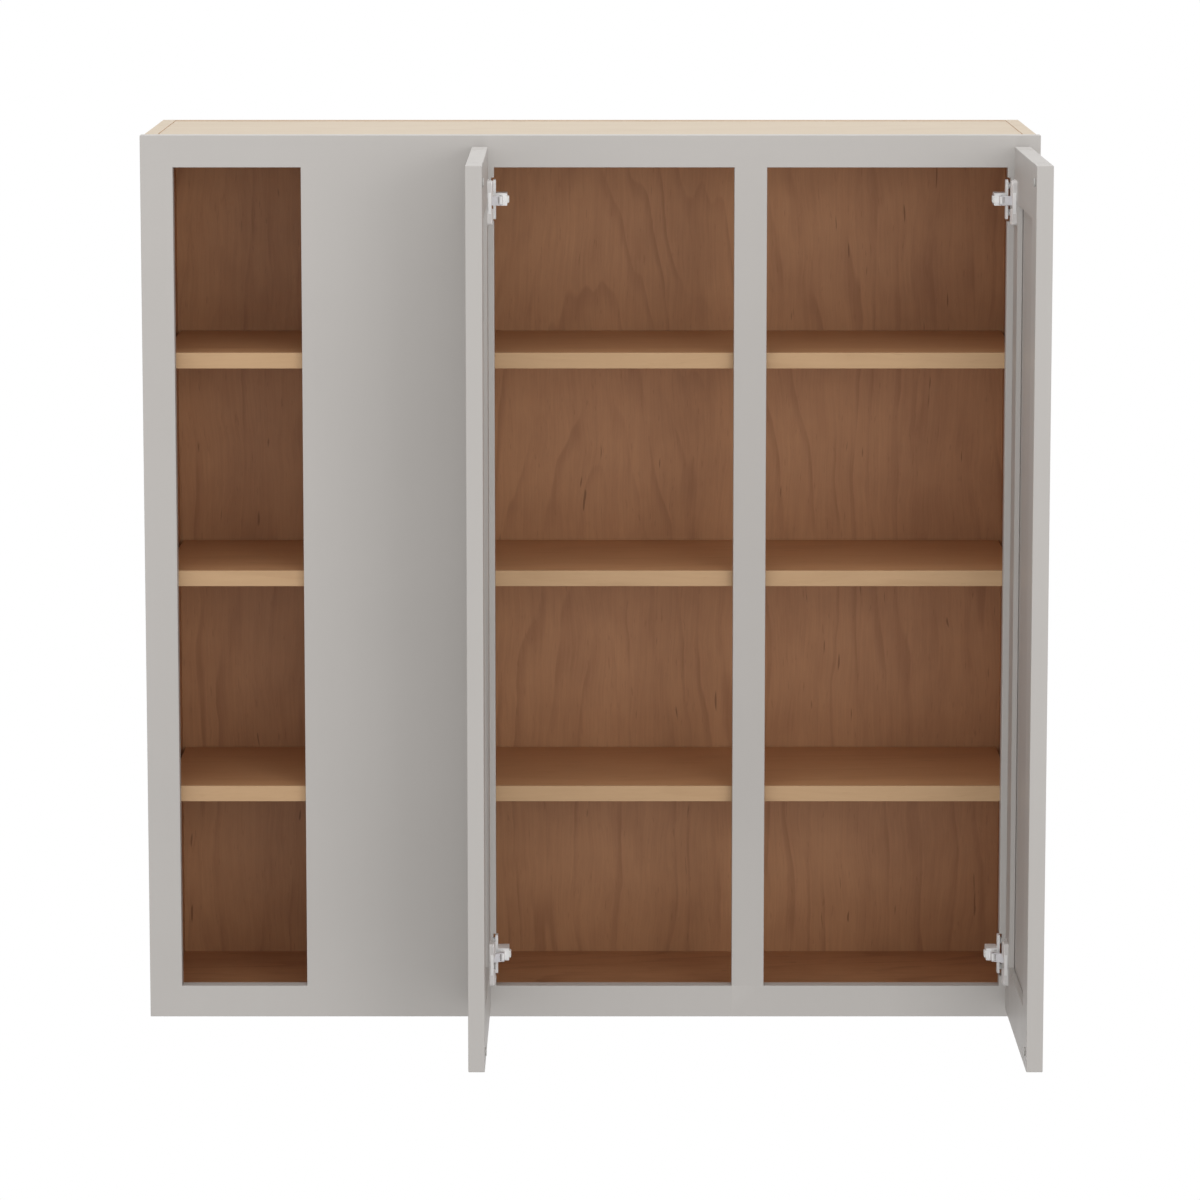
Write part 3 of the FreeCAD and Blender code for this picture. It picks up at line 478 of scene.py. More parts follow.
class WornMetal(Effect):
    """Plated or moulded small parts: fine lines drawn along Z, clouds and sparse pits."""

    NAME = "worn_metal"
    INPUTS = (("Vector", "NodeSocketVector"), ("Bright", "NodeSocketColor"),
              ("Dull", "NodeSocketColor"), ("Gloss Roughness", "NodeSocketFloat"))
    DRAWN = Pattern((2600.0, 2600.0, 160.0), 2.0, 0.6)
    DRAWN_WEIGHT = 0.45
    CLOUDS = Pattern((90.0,) * 3, 3.0, 0.55)
    CLOUD_WEIGHT = 0.55
    TONE_RAMP = (0.3, 0.75)
    TONE_DULLNESS = 0.22
    PITS = Pattern((1500.0,) * 3, 1.0)
    PIT_RAMP = (0.7, 0.82)
    RELIEF = 0.5

    @classmethod
    def wire(cls, wiring: Wiring, given: bpy.types.NodeOutputs) -> tuple[Socket, ...]:
        """Take one tone of lines and clouds for colour and gloss, and pits for the relief.

        Args:
            wiring: The group's wiring.
            given: The group's inputs.

        Returns:
            Colour, roughness and height.
        """
        place = given["Vector"]
        drawn = wiring.noise(place, cls.DRAWN)
        pits = wiring.ramp(wiring.noise(place, cls.PITS), *cls.PIT_RAMP)
        tone = wiring.math("MULTIPLY_ADD", drawn, cls.DRAWN_WEIGHT, wiring.math(
            "MULTIPLY", wiring.noise(place, cls.CLOUDS), cls.CLOUD_WEIGHT))
        metal = wiring.mix(wiring.ramp(tone, *cls.TONE_RAMP), given["Bright"], given["Dull"])
        dull = wiring.math("MULTIPLY_ADD", tone, cls.TONE_DULLNESS, given["Gloss Roughness"])
        height = wiring.math("SUBTRACT", wiring.math("MULTIPLY", drawn, cls.RELIEF),
                             wiring.math("MULTIPLY", pits, cls.RELIEF))
        return metal, dull, height


def dressed(name: str, effect: type[Effect], inputs: dict[str, object], bump: float,
            shader: dict[str, float], centre: Vector = Vector(),
            turn: Triple = (0.0, 0.0, 0.0)) -> bpy.types.Material:
    """Make a material from one effect.

    Args:
        name: The material's name.
        effect: The effect that gives colour, roughness and height.
        inputs: The effect's own values.
        bump: The height of the relief, in metres.
        shader: Plain values on the shader itself.
        centre: The point that the pattern is centred on.
        turn: The turn that brings the pattern's lines to Z.

    Returns:
        The material.
    """
    material = bpy.data.materials.new(name)
    material.use_nodes = True
    tree = material.node_tree
    tree.nodes.clear()
    wiring = Wiring(tree)
    place = wiring.add("ShaderNodeTexCoord").outputs["Object"]
    mapping = wiring.add("ShaderNodeMapping", vector_type="TEXTURE")
    wiring.feed_named(mapping, {"Vector": place, "Location": centre, "Rotation": turn})
    group = wiring.add("ShaderNodeGroup", node_tree=effect.tree())
    wiring.feed_named(group, {"Vector": mapping.outputs[0], **inputs})
    relief = wiring.add("ShaderNodeBump")
    wiring.feed_named(relief, {"Strength": 1.0, "Distance": bump,
                               "Height": group.outputs["Height"]})
    surface = wiring.add("ShaderNodeBsdfPrincipled")
    wiring.feed_named(surface, {"Base Color": group.outputs["Color"],
                                "Roughness": group.outputs["Roughness"],
                                "Normal": relief.outputs[0], **shader})
    end = wiring.add("ShaderNodeOutputMaterial")
    wiring.feed(end.inputs["Surface"], surface.outputs[0])
    return material


@dataclass(frozen=True)
class Veneer:
    """Clear coated maple, as veneer or as a solid strip."""

    name: str
    pale: Triple
    deep: Triple
    streak: Triple
    figure: float
    taper: float
    streaks: float
    roughness: float
    bump: float = 0.03 * MM
    shine: float = 0.35

    def material(self, label: str, grain: Grain, centre: Vector) -> bpy.types.Material:
        """The finish on one board.

        Args:
            label: The board's own name, because each board has its own sheet of veneer.
            grain: The direction of its fibres.
            centre: Where the board's arches rise from.

        Returns:
            The board's material.
        """
        return dressed(f"{self.name}_{label}", MapleFigure, {
            "Pale": self.pale, "Deep": self.deep, "Streak": self.streak,
            "Figure": self.figure, "Taper": self.taper, "Streaks": self.streaks,
            "Gloss Roughness": self.roughness,
        }, self.bump, {"Specular IOR Level": self.shine}, centre, grain.value)


@dataclass(frozen=True)
class Paint:
    """Sprayed satin paint."""

    name: str
    colour: Triple
    shade: Triple
    roughness: float
    bump: float = 0.005 * MM
    shine: float = 0.22

    def material(self) -> bpy.types.Material:
        """Build the paint once.

        Returns:
            The paint's material.
        """
        found = bpy.data.materials.get(self.name)
        return found or dressed(self.name, SprayedCoat, {
            "Paint": self.colour, "Shade": self.shade, "Gloss Roughness": self.roughness,
        }, self.bump, {"Specular IOR Level": self.shine})


@dataclass(frozen=True)
class SmallPart:
    """Metal or plastic of small fittings."""

    name: str
    bright: Triple
    dull: Triple
    roughness: float
    metallic: float
    bump: float = 0.006 * MM

    def material(self) -> bpy.types.Material:
        """Build the finish once.

        Returns:
            The finish's material.
        """
        found = bpy.data.materials.get(self.name)
        return found or dressed(self.name, WornMetal, {
            "Bright": self.bright, "Dull": self.dull, "Gloss Roughness": self.roughness,
        }, self.bump, {"Metallic": self.metallic})


FRAME_PAINT = Paint("sprayed_frame", linear(197, 193, 189), linear(194, 190, 186), 0.42)
# Door paint: the frame's paint made a little darker as painted shade, to hold down the
# stronger light that the open doors get nearer the lamps.
SHADED_DOOR_PAINT = Paint("sprayed_door_shaded", linear(191, 187, 183), linear(188, 184, 180), 0.45)
OUTSIDE_MAPLE = Veneer("outside_maple", linear(206, 190, 167), linear(190, 170, 145),
                       linear(156, 128, 100), 0.6, 0.12, 0.3, 0.42)
INSIDE_MAPLE = Veneer("inside_maple", linear(202, 153, 112), linear(168, 121, 87),
                      linear(84, 51, 34), 0.9, 0.24, 0.5, 0.38)
SHELF_MAPLE = Veneer("shelf_maple", linear(206, 158, 115), linear(184, 134, 94),
                     linear(114, 75, 50), 0.6, 0.1, 0.3, 0.36)
EDGE_MAPLE = Veneer("edge_maple", linear(203, 167, 128), linear(185, 148, 110),
                    linear(148, 110, 76), 0.6, 0.08, 0.2, 0.36)
BEECH = Veneer("dowel_beech", linear(206, 172, 134), linear(184, 146, 108),
               linear(150, 112, 80), 0.6, 0.1, 0.3, 0.6)
NICKEL = SmallPart("bright_nickel", linear(250, 249, 248), linear(240, 239, 239), 0.34, 0.12)
# Cup nickel: its higher roughness is a real satin finish, and its colour darker than the
# bright nickel is painted shade.
SHADED_CUP_NICKEL = SmallPart("satin_nickel_shaded", linear(228, 225, 223), linear(214, 211, 209), 0.4,
                       0.12)
LINK_STEEL = SmallPart("link_steel", linear(226, 224, 227), linear(208, 206, 210), 0.34, 0.3)
PIN_STEEL = SmallPart("pin_steel", linear(196, 195, 193), linear(160, 159, 157), 0.26, 1.0)
ZINC = SmallPart("zinc_screws", linear(206, 201, 180), linear(172, 166, 146), 0.34, 1.0)
CARTRIDGE = SmallPart("white_cartridge", linear(240, 240, 236), linear(232, 231, 227), 0.36,
                      0.0)
SOFT_BUMPER = SmallPart("soft_bumper", linear(196, 194, 190), linear(184, 182, 178), 0.4, 0.0)


def anywhere(middle: Vector, direction: Vector) -> bool:
    """Choose every edge."""
    return True


def box_edges(low: Vector, high: Vector) -> Chooser:
    """Choose the edges along a box, and none at bores.

    Args:
        low: The box's least corner.
        high: The box's greatest corner.

    Returns:
        The chooser.
    """
    def choose(middle: Vector, direction: Vector) -> bool:
        """The edge runs along an axis, and both other coordinates lie on the box."""
        on_box = sum(min(abs(middle[i] - low[i]), abs(middle[i] - high[i])) < EDGE_REACH
                     for i in range(3))
        return on_box >= 2 and max(abs(part) for part in direction) > ALONG_AXIS

    return choose


@dataclass
class Piece:
    """One piece of the cabinet while its mesh is being made.

    The mesh starts as a merged copy of the CAD solid that the piece stands for, so that its
    bores and notches stay, and gets its softened arrises and cut details here.
    """

    name: str
    body: str
    slot: str
    stands_for: tuple[str, ...]
    mesh: bmesh.types.BMesh = field(default_factory=bmesh.new)

    @classmethod
    def of_node(cls, node: str, slot: str) -> "Piece":
        """Start from a CAD node.

        Args:
            node: The node's name.
            slot: The record's slot that its finish comes from.

        Returns:
            The piece, riding on the node's own body.
        """
        source = frame["nodes"][node]
        made = cls(f"{node}_dressed", source["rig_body"], slot, (node,))
        made.mesh.from_mesh(source.data)
        bmesh.ops.remove_doubles(made.mesh, verts=made.mesh.verts, dist=MERGE_DISTANCE)
        made.join_flat_faces()
        return made

    def join_flat_faces(self) -> None:
        """Make one face of the faces that lie in one plane."""
        bmesh.ops.dissolve_limit(self.mesh, angle_limit=FLAT_UNDER, verts=self.mesh.verts,
                                 edges=self.mesh.edges)

    def bisect(self, point: Sequence[float], normal: Sequence[float],
               clear: bool = False) -> list[bmesh.types.BMEdge]:
        """Divide the faces along a plane.

        Args:
            point: A point of the plane.
            normal: The plane's normal.
            clear: Whether what lies on the normal's side goes.

        Returns:
            The edges that lie on the plane.
        """
        mesh = self.mesh
        cut = bmesh.ops.bisect_plane(mesh, geom=[*mesh.verts, *mesh.edges, *mesh.faces],
                                     dist=MERGE_DISTANCE, plane_co=point, plane_no=normal,
                                     clear_outer=clear)["geom_cut"]
        return [part for part in cut if isinstance(part, bmesh.types.BMEdge)]

    def trim(self, point: Sequence[float], outward: Sequence[float]) -> None:
        """Cut off what lies outside a plane and close the cut.

        Args:
            point: A point of the plane.
            outward: The way to what goes.
        """
        rim = self.bisect(point, outward, clear=True)
        bmesh.ops.edgeloop_fill(self.mesh, edges=rim)
        bmesh.ops.recalc_face_normals(self.mesh, faces=self.mesh.faces[:])

    def soften(self, width: float, segments: int, choose: Chooser = anywhere) -> None:
        """Round the sharp outer edges that the chooser accepts.

        Args:
            width: How far the rounding reaches from the edge.
            segments: Facets of the rounding.
            choose: Takes an edge's middle and direction.
        """
        edges = []
        for edge in self.mesh.edges:
            if len(edge.link_faces) != 2 or not edge.is_convex:
                continue
            if edge.calc_face_angle() < SHARP_OVER:
                continue
            start, end = (vert.co for vert in edge.verts)
            if choose((start + end) / 2, (end - start).normalized()):
                edges.append(edge)
        if edges:
            bmesh.ops.bevel(self.mesh, geom=edges, offset=width, offset_type="OFFSET",
                            affect="EDGES", segments=segments, profile=ROUND_PROFILE,
                            material=-1, clamp_overlap=True)

    def finish(self, material: bpy.types.Material) -> bpy.types.Object:
        """Make the object, give it its finish and set it on its body.

        Args:
            material: The finish.

        Returns:
            The finished object.
        """
        data = bpy.data.meshes.new(self.name)
        self.mesh.to_mesh(data)
        self.mesh.free()
        data.materials.append(material)
        data.shade_smooth()
        data.set_sharp_from_angle(angle=SMOOTH_UNDER)
        made = bpy.data.objects.new(self.name, data)
        bpy.context.scene.collection.objects.link(made)
        even = made.modifiers.new("even_normals", "WEIGHTED_NORMAL")
        even.keep_sharp = True
        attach(made, self.body)
        if self.stands_for:
            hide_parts(*self.stands_for)
        log.info("%s: %d faces, on %s", self.name, len(data.polygons), self.body)
        return made


def dress_node(node: str, material: bpy.types.Material) -> None:
    """Give a CAD node that stays as it is a finish of its own.

    Args:
        node: The node's name.
        material: The finish.
    """
    kept = frame["nodes"][node]
    kept.data.materials.clear()
    kept.data.materials.append(material)
    log.info("%s: kept, %s", node, material.name)


@dataclass(frozen=True)
class CaseBoard:
    """One board of the box: its grain and which of its faces look out of the box."""

    node: str
    grain: Grain
    outward: Triple
    pale_upper_edge: bool = True
    slot: str = "case_maple"


CASE_BOARDS = (
    CaseBoard("left_side_panel", Grain.UPRIGHT, (-1.0, 0.0, 0.0)),
    CaseBoard("right_side_panel", Grain.UPRIGHT, (1.0, 0.0, 0.0)),
    CaseBoard("top_panel", Grain.ACROSS, (0.0, 0.0, 1.0)),
    CaseBoard("bottom_panel", Grain.ACROSS, (0.0, 0.0, -1.0), pale_upper_edge=False),
    CaseBoard("back_panel", Grain.UPRIGHT, (0.0, 1.0, 0.0), slot="back_maple"),
)


@dataclass
class Carcase:
    """The box behind the face frame: sides, top, bottom, back and what joins them."""

    arris: float = 0.35 * MM
    heart_offset: Triple = (0.13, 0.07, 0.11)
    back_heart: Triple = (0.002, 0.0, 0.372)

    def build(self) -> None:
        """Make and dress every board and fastener."""
        for board in CASE_BOARDS:
            self.build_board(board)
        dress_node("case_dowels", BEECH.material("case_dowels", Grain.UPRIGHT, Vector()))
        for node in ("case_screws", "back_screws"):
            dress_node(node, ZINC.material())

    def build_board(self, board: CaseBoard) -> None:
        """Make one board, warm inside the box and pale outside.

        Args:
            board: The board.
        """
        low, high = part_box(board.node)
        heart = (low + high) / 2 + Vector(self.heart_offset)
        if board.node == "back_panel":
            heart = Vector(self.back_heart)
        piece = Piece.of_node(board.node, board.slot)
        piece.soften(self.arris, 1, box_edges(low, high))
        made = piece.finish(INSIDE_MAPLE.material(f"{board.node}_inside", board.grain, heart))
        made.data.materials.append(
            OUTSIDE_MAPLE.material(f"{board.node}_outside", board.grain, heart))
        outward = Vector(board.outward)
        for face in made.data.polygons:
            upper_edge = (board.pale_upper_edge and face.normal.z > MOSTLY_ALONG
                          and face.center.z > high.z - FACE_REACH)
            rear_edge = face.normal.y > MOSTLY_ALONG and face.center.y > high.y - FACE_REACH
            if face.normal.dot(outward) > MOSTLY_ALONG or upper_edge or rear_edge:
                face.material_index = 1


@dataclass
class FaceFrame:
    """Four stiles and two rails in front of the box, painted."""

    arris: float = 0.7 * MM
    arris_segments: int = 2
    stiles: tuple[str, ...] = ("left_end_stile", "blind_stile", "centre_stile",
                               "right_end_stile")
    rails: tuple[str, ...] = ("top_rail", "bottom_rail")

    def build(self) -> None:
        """Make the six members and dress their hidden dowels."""
        for node in self.stiles:
            piece = Piece.of_node(node, "frame_paint")
            for z in self.opening_heights():
                piece.bisect((0, 0, z), (0, 0, 1))
            piece.soften(self.arris, self.arris_segments, self.stile_edge(node))
            piece.finish(FRAME_PAINT.material())
        for node in self.rails:
            piece = Piece.of_node(node, "frame_paint")
            for stile in self.stiles:
                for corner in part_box(stile):
                    piece.bisect((corner.x, 0, 0), (1, 0, 0))
            piece.soften(self.arris, self.arris_segments, self.rail_edge(node))
            piece.finish(FRAME_PAINT.material())
        dress_node("frame_dowels", BEECH.material("frame_dowels", Grain.ACROSS, Vector()))

    @staticmethod
    def opening_heights() -> tuple[float, float]:
        """Where the openings start above the lower rail and end under the upper one."""
        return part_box("bottom_rail")[1].z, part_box("top_rail")[0].z

    def stile_edge(self, node: str) -> Chooser:
        """Choose a stile's front edges where no rail meets it, and the cabinet's outline.

        Args:
            node: The stile.

        Returns:
            The chooser.
        """
        low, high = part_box(node)
        opening_start, opening_end = self.opening_heights()
        outer_x = {"left_end_stile": low.x, "right_end_stile": high.x}.get(node)

        def choose(middle: Vector, direction: Vector) -> bool:
            """Look at the cabinet's outer side first, then at the openings.

            Args:
                middle: The edge's middle.
                direction: The edge's direction.

            Returns:
                Whether the edge gets rounded.
            """
            on_outer_side = outer_x is not None and abs(middle.x - outer_x) < EDGE_REACH
            if abs(middle.y - low.y) > EDGE_REACH:
                return on_outer_side and abs(direction.y) > ALONG_AXIS
            if abs(direction.z) > ALONG_AXIS:
                return on_outer_side or opening_start < middle.z < opening_end
            return outer_x is not None and min(abs(middle.z - low.z),
                                               abs(middle.z - high.z)) < EDGE_REACH

        return choose

    def rail_edge(self, node: str) -> Chooser:
        """Choose a rail's front edges along the openings and along its outer side.

        Args:
            node: The rail.

        Returns:
            The chooser.
        """
        low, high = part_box(node)
        outer_z = high.z if node == "top_rail" else low.z
        boxes = [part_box(name) for name in self.stiles]

        def choose(middle: Vector, direction: Vector) -> bool:
            """Look for long front edges away from the stiles.

            Args:
                middle: The edge's middle.
                direction: The edge's direction.

            Returns:
                Whether the edge gets rounded.
            """
            if abs(direction.x) < ALONG_AXIS or abs(middle.y - low.y) > EDGE_REACH:
                return False
            if abs(middle.z - outer_z) < EDGE_REACH:
                return True
            return not any(start.x < middle.x < end.x for start, end in boxes)

        return choose


@dataclass
class ShelfSet:
    """Three shelves with solid front edges, and their pins."""

    arris: float = 0.6 * MM
    arris_segments: int = 2
    end_trim: float = 2.0 * MM
    levels: tuple[str, ...] = ("bottom", "middle", "top")
    heart_offset: Triple = (0.1, 0.05, 0.02)
    heart_step: float = 0.17

    def build(self) -> None:
        """Make the boards and edges and dress the pins."""
        for number, level in enumerate(self.levels):
            low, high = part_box(f"{level}_shelf")
            right, inward, up = self.heart_offset
            heart = (low + high) / 2 + Vector((right - self.heart_step * number, inward, up))
            board = Piece.of_node(f"{level}_shelf", "shelf_maple")
            self.trim_ends(board, low, high)
            board.finish(SHELF_MAPLE.material(level, Grain.ACROSS, heart))
            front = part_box(f"{level}_shelf_edge")[0].y
            edge = Piece.of_node(f"{level}_shelf_edge", "shelf_edge_maple")
            self.trim_ends(edge, low, high)
            edge.soften(self.arris, self.arris_segments,
                        lambda middle, direction: abs(middle.y - front) < EDGE_REACH)
            edge.finish(EDGE_MAPLE.material(level, Grain.ACROSS, heart))
        dress_node("shelf_pins", PIN_STEEL.material())

    def trim_ends(self, piece: Piece, low: Vector, high: Vector) -> None:
        """Widen the gap between the shelf's ends and the sides as the photo shows it."""
        piece.trim((low.x + self.end_trim, 0, 0), (-1, 0, 0))
        piece.trim((high.x - self.end_trim, 0, 0), (1, 0, 0))


@dataclass
class Door:
    """One door of five members, painted, with its soft bumpers."""

    side: Side
    arris: float = 1.0 * MM
    arris_segments: int = 3
    bumper_round: float = 0.6 * MM
    bumper_segments: int = 2
    stiles: tuple[str, ...] = ("hinge_stile", "lock_stile")
    rails: tuple[str, ...] = ("top_rail", "bottom_rail")

    def build(self) -> None:
        """Make the members, the panel and the bumpers."""
        prefix = f"{self.side.value}_door"
        boxes = [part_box(f"{prefix}_{member}") for member in (*self.stiles, *self.rails)]
        low = Vector(map(min, *(box[0] for box in boxes)))
        high = Vector(map(max, *(box[1] for box in boxes)))
        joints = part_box(f"{prefix}_bottom_rail")[1].z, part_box(f"{prefix}_top_rail")[0].z
        for member in (*self.stiles, *self.rails):
            piece = Piece.of_node(f"{prefix}_{member}", "door_paint")
            if member in self.stiles:
                for z in joints:
                    piece.bisect((0, 0, z), (0, 0, 1))
            piece.soften(self.arris, self.arris_segments, box_edges(low, high))
            piece.finish(SHADED_DOOR_PAINT.material())
        Piece.of_node(f"{prefix}_panel", "door_paint").finish(SHADED_DOOR_PAINT.material())
        bumpers = Piece.of_node(f"{prefix}_bumpers", "bumper")
        bumpers.soften(self.bumper_round, self.bumper_segments)
        bumpers.finish(SOFT_BUMPER.material())


@dataclass(frozen=True)
class Fitting:
    """One part of every hinge: its slot, its finish and the rounding of its edges."""

    part: str
    slot: str
    finish: SmallPart
    rounding: float
    segments: int


FITTINGS = (
    Fitting("plate", "hinge_nickel", NICKEL, 0.2 * MM, 2),
    Fitting("arm", "hinge_nickel", NICKEL, 0.5 * MM, 3),
    Fitting("damper", "hinge_cartridge", CARTRIDGE, 0.8 * MM, 3),
    Fitting("link", "hinge_link", LINK_STEEL, 0.4 * MM, 2),
    Fitting("cup", "hinge_nickel", SHADED_CUP_NICKEL, 0.3 * MM, 2),
)


@dataclass
class Hinge:
    """One concealed hinge: plate, arm, soft-close cartridge, link, cup and the cup's cap."""

    side: Side
    level: Level

    def build(self) -> None:
        """Make the parts of the hinge."""
        prefix = f"{self.side.value}_{self.level.value}_hinge"
        for fitting in FITTINGS:
            piece = Piece.of_node(f"{prefix}_{fitting.part}", fitting.slot)
            piece.soften(fitting.rounding, fitting.segments)
            piece.finish(fitting.finish.material())
        CupCap(self.side, f"{prefix}_cup").build()


@dataclass
class CupCap:
    """The bowed cap on the front of a hinge cup, open at the back for link and arm.

    It keeps to the part of the cup that stands in the opening when the door is closed. Its
    face looks into the opening, and its bow looks to the front of the open door.
    """

    side: Side
    cup: str
    end_inset: float = 0.6 * MM
    front_reach: float = 1.4 * MM
    depth: float = 19.0 * MM
    bow: float = 6.0 * MM
    bow_segments: int = 128
    proud: float = 2.0 * MM
    sink: float = 3.45 * MM
    fall: float = 0.1
    corner: float = 2.0 * MM
    corner_segments: int = 4
    rim: float = 0.7 * MM
    rim_segments: int = 3
    window_half: float = 7.8 * MM
    window_depth: float = 13.7 * MM

    def build(self) -> None:
        """Draw the outline, cut the window, give it thickness and round it."""
        low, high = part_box(self.cup)
        middle = (low + high) / 2
        sign = self.side.sign
        face = (low.x if self.side is Side.RIGHT else high.x) - sign * self.proud
        seat = face + sign * (self.proud + self.sink)
        half = (high.z - low.z) / 2 - self.end_inset
        front = low.y - self.front_reach
        back = front + self.depth
        cap = Piece(f"{self.cup}_cover", f"{self.side.value}_door", "hinge_nickel", ())
        self.draw_outline(cap, (face, front, middle.z), half)
        self.cut_window(cap, back, middle.z)
        self.thicken(cap, back)
        cap.soften(self.corner, self.corner_segments, lambda at, way: (
            abs(way.x) > ALONG_AXIS and abs(at.z - middle.z) > half - EDGE_REACH))
        cap.soften(self.rim, self.rim_segments, lambda at, way: (
            abs(way.x) < MOSTLY_ALONG and abs(at.x - seat) > self.sink / 2))
        cap.finish(NICKEL.material())

    def draw_outline(self, cap: Piece, foremost: Triple, half: float) -> None:
        """Draw the flat D: a piece of a wide circle, straight at the back and both ends.

        Args:
            cap: The cap.
            foremost: The foremost point of the bow.
            half: Half the D's length along Z.
        """
        x, y, z = foremost
        radius = (half ** 2 + self.bow ** 2) / (2 * self.bow)
        mesh = cap.mesh
        bmesh.ops.create_circle(
            mesh, cap_ends=True, segments=self.bow_segments, radius=radius,
            matrix=Matrix.Translation((x, y + radius, z))
            @ Matrix.Rotation(math.pi / 2, 4, "Y"))
        for point, outward in (((0, y + self.depth, 0), (0, 1, 0)),
                               ((0, 0, z + half), (0, 0, 1)),
                               ((0, 0, z - half), (0, 0, -1))):
            bmesh.ops.bisect_plane(mesh, geom=[*mesh.verts, *mesh.edges, *mesh.faces],
                                   plane_co=point, plane_no=outward, clear_outer=True)

    def cut_window(self, cap: Piece, back: float, middle_z: float) -> None:
        """Open the back edge for the link and the arm.

        Args:
            cap: The cap.
            back: The place of the D's straight back along Y.
            middle_z: The place of the window's middle along Z.
        """
        for offset in (-self.window_half, self.window_half):
            cap.bisect((0, 0, middle_z + offset), (0, 0, 1))
        cap.bisect((0, back - self.window_depth, 0), (0, 1, 0))
        window = []
        for part in cap.mesh.faces:
            at = part.calc_center_bounds()
            if abs(at.z - middle_z) < self.window_half and at.y > back - self.window_depth:
                window.append(part)
        bmesh.ops.delete(cap.mesh, geom=window, context="FACES")

    def thicken(self, cap: Piece, back: float) -> None:
        """Give the D its thickness into the door, with a face that falls to the front.

        Args:
            cap: The cap.
            back: The place of the D's straight back along Y, where the face stays.
        """
        mesh = cap.mesh
        sign = self.side.sign
        outline = mesh.verts[:]
        sunk = bmesh.ops.extrude_face_region(mesh, geom=mesh.faces[:])["geom"]
        bmesh.ops.translate(mesh, vec=(sign * (self.proud + self.sink), 0, 0),
                            verts=[part for part in sunk
                                   if isinstance(part, bmesh.types.BMVert)])
        slope = Matrix.Identity(4)
        slope[0][1] = -sign * self.fall
        slope[0][3] = sign * self.fall * back
        bmesh.ops.transform(mesh, matrix=slope, verts=outline)
        bmesh.ops.recalc_face_normals(mesh, faces=mesh.faces[:])
        cap.join_flat_faces()


@dataclass(frozen=True)
class Lamp:
    """One soft rectangular lamp that looks at a point."""

    name: str
    place: Triple
    aim: Triple
    width: float
    height: float
    power: float

    def build(self) -> None:
        """Add the lamp to the scene, unseen by the camera and in reflections."""
        data = bpy.data.lights.new(self.name, "AREA")
        data.shape = "RECTANGLE"
        data.size, data.size_y = self.width, self.height
        data.energy = self.power
        made = bpy.data.objects.new(self.name, data)
        bpy.context.scene.collection.objects.link(made)
        made.location = self.place
        way = Vector(self.aim) - Vector(self.place)
        made.rotation_euler = way.to_track_quat("-Z", "Y").to_euler()
        made.visible_camera = False
        made.visible_glossy = False


LAMPS = (
    Lamp("key_lamp", (1.5, -4.7, 0.9), (0.0, -0.3, 0.0), 1.2, 1.2, 24.0),
    Lamp("fill_lamp", (-0.9, -4.9, 0.9), (0.0, -0.3, 0.0), 1.4, 1.2, 6.0),
    Lamp("high_lamp", (0.2, -3.4, 3.4), (0.0, -0.3, 0.0), 3.0, 1.6, 12.0),
    Lamp("top_lamp", (0.0, -0.1, 3.0), (0.0, -0.1, 0.0), 2.6, 2.2, 23.0),
    Lamp("low_lamp", (0.4, -5.0, -0.8), (0.1, -0.3, 0.0), 1.6, 1.6, 13.0),
)


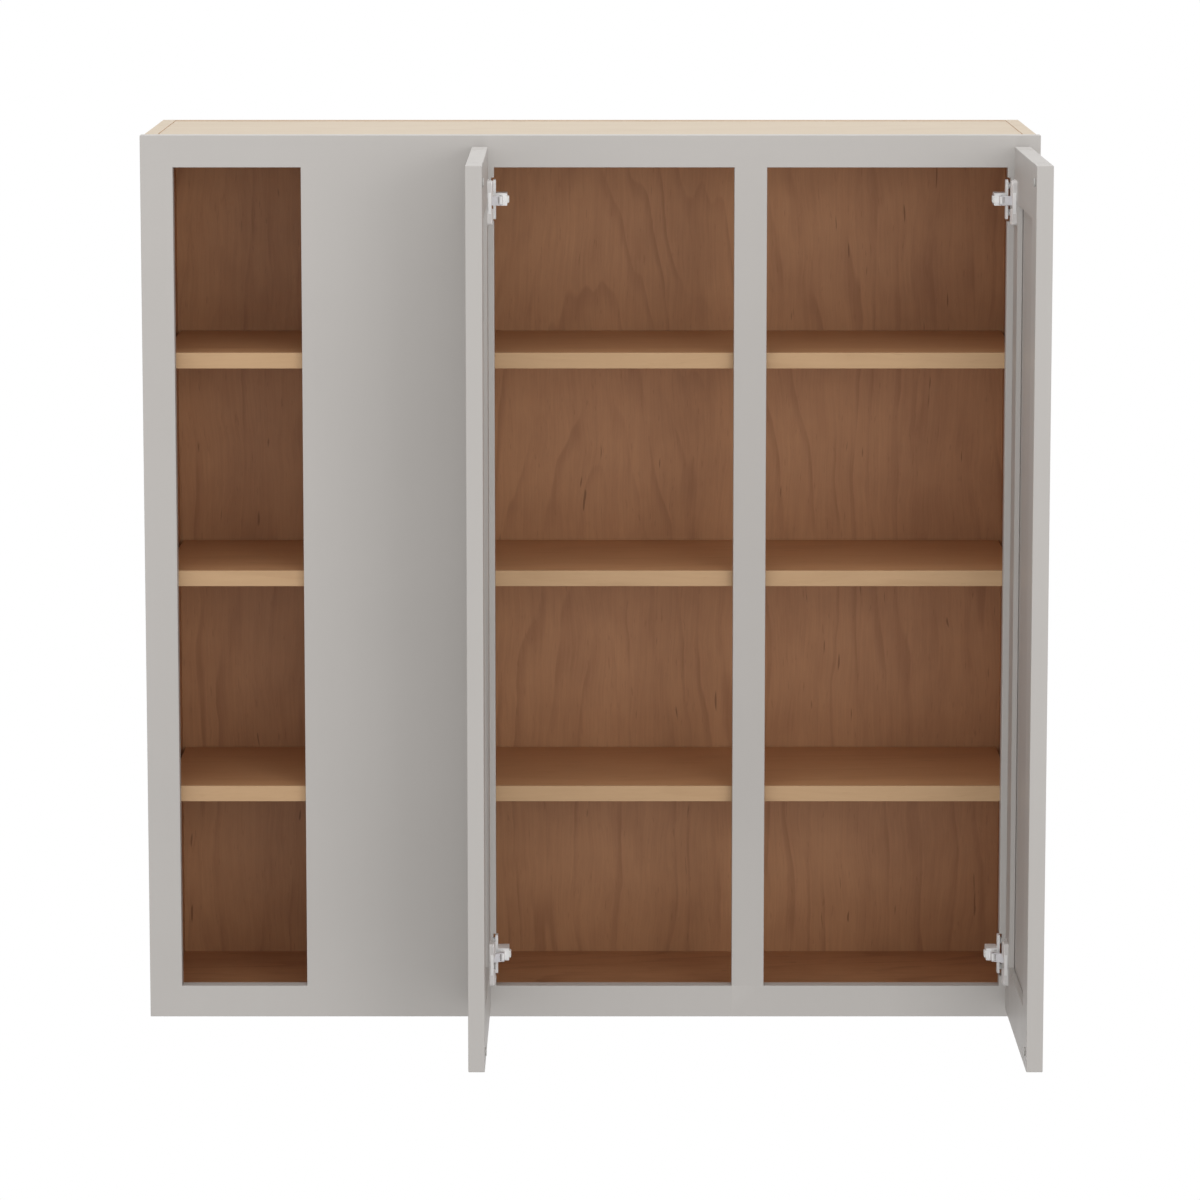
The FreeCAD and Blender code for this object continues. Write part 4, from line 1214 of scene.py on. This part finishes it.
@dataclass
class Studio:
    """Pale floor, white surroundings, soft lamps and the camera."""

    floor_z: float = -1.9
    floor_radius: float = 3.0
    floor_segments: int = 96
    floor_colour: float = 0.93
    floor_light: float = 0.18
    fade_start_share: float = 0.45
    fade_end_share: float = 0.97
    world_light: float = 0.775
    camera_place: Triple = (0.01155, -6.68137, 0.93471)
    camera_pitch: float = math.radians(90 - 8.5386)
    focal_length: float = 161.38
    sensor_width: float = 36.0
    clip_start: float = 0.1
    clip_end: float = 60.0

    def build(self) -> None:
        """Set up everything round the cabinet."""
        bpy.context.scene.view_settings.view_transform = "Standard"
        self.build_world()
        self.build_floor()
        for lamp in LAMPS:
            lamp.build()
        self.build_camera()

    def build_world(self) -> None:
        """White to the camera and in reflections, a little dimmer as light."""
        world = bpy.data.worlds.new("studio_world")
        bpy.context.scene.world = world
        world.use_nodes = True
        world.node_tree.nodes.clear()
        wiring = Wiring(world.node_tree)
        rays = wiring.add("ShaderNodeLightPath").outputs
        seen = wiring.math("ADD", wiring.math("ADD", rays["Is Camera Ray"],
                                              rays["Is Glossy Ray"]),
                           rays["Is Transmission Ray"], clamp=True)
        strength = wiring.math("MULTIPLY_ADD", seen, 1.0 - self.world_light, self.world_light)
        background = wiring.step("ShaderNodeBackground", ((1.0, 1.0, 1.0), strength))
        end = wiring.add("ShaderNodeOutputWorld")
        wiring.feed(end.inputs["Surface"], background)

    def build_floor(self) -> None:
        """A pale disc well below the cabinet, because it hangs on a wall."""
        mesh = bmesh.new()
        bmesh.ops.create_circle(mesh, cap_ends=True, segments=self.floor_segments,
                                radius=self.floor_radius,
                                matrix=Matrix.Translation((0, 0, self.floor_z)))
        data = bpy.data.meshes.new("studio_floor")
        mesh.to_mesh(data)
        mesh.free()
        floor = bpy.data.objects.new("studio_floor", data)
        bpy.context.scene.collection.objects.link(floor)
        data.materials.append(self.floor_material())

    def floor_material(self) -> bpy.types.Material:
        """Make it matt and pale, white at the rim, and dimmer in the light that it throws.

        Returns:
            The floor's material.
        """
        material = bpy.data.materials.new("pale_floor")
        material.use_nodes = True
        material.node_tree.nodes.clear()
        wiring = Wiring(material.node_tree)
        place = wiring.add("ShaderNodeTexCoord").outputs["Object"]
        length = wiring.add("ShaderNodeVectorMath", operation="LENGTH")
        wiring.feed(length.inputs[0], wiring.scaled(place, (1.0, 1.0, 0.0)))
        fade = wiring.ramp(length.outputs["Value"], self.floor_radius * self.fade_start_share,
                           self.floor_radius * self.fade_end_share)
        bounced = wiring.add("ShaderNodeLightPath").outputs["Is Diffuse Ray"]
        matt = wiring.add("ShaderNodeBsdfDiffuse")
        wiring.feed(matt.inputs["Color"],
                    wiring.math("MULTIPLY_ADD", bounced,
                                self.floor_light - self.floor_colour, self.floor_colour))
        glow = wiring.add("ShaderNodeEmission")
        wiring.feed(glow.inputs["Strength"],
                    wiring.math("MULTIPLY_ADD", bounced, self.floor_light - 1.0, 1.0))
        blend = wiring.step("ShaderNodeMixShader", (fade, matt.outputs[0], glow.outputs[0]))
        end = wiring.add("ShaderNodeOutputMaterial")
        wiring.feed(end.inputs["Surface"], blend)
        return material

    def build_camera(self) -> None:
        """A long lens, a little above the cabinet's top and pitched down to it."""
        data = bpy.data.cameras.new("camera")
        data.sensor_width = self.sensor_width
        data.lens = self.focal_length
        data.clip_start, data.clip_end = self.clip_start, self.clip_end
        made = bpy.data.objects.new("camera", data)
        bpy.context.scene.collection.objects.link(made)
        made.location = self.camera_place
        made.rotation_euler = (self.camera_pitch, 0.0, 0.0)
        bpy.context.scene.camera = made


def hinges() -> Iterable[Hinge]:
    """The four hinges."""
    return (Hinge(side, level) for side in Side for level in Level)


def main() -> None:
    """Build the cabinet and its studio, one sub-assembly after the other."""
    logging.basicConfig(level=logging.INFO, format="%(message)s")
    Carcase().build()
    FaceFrame().build()
    ShelfSet().build()
    for side in Side:
        Door(side).build()
    for hinge in hinges():
        hinge.build()
    for node in ("hinge_plate_screws", "hinge_adjusting_screws", "left_cup_screws",
                 "right_cup_screws"):
        dress_node(node, NICKEL.material())
    dress_node("hinge_pivot_pins", PIN_STEEL.material())
    Studio().build()


if __name__ == "__main__":
    main()
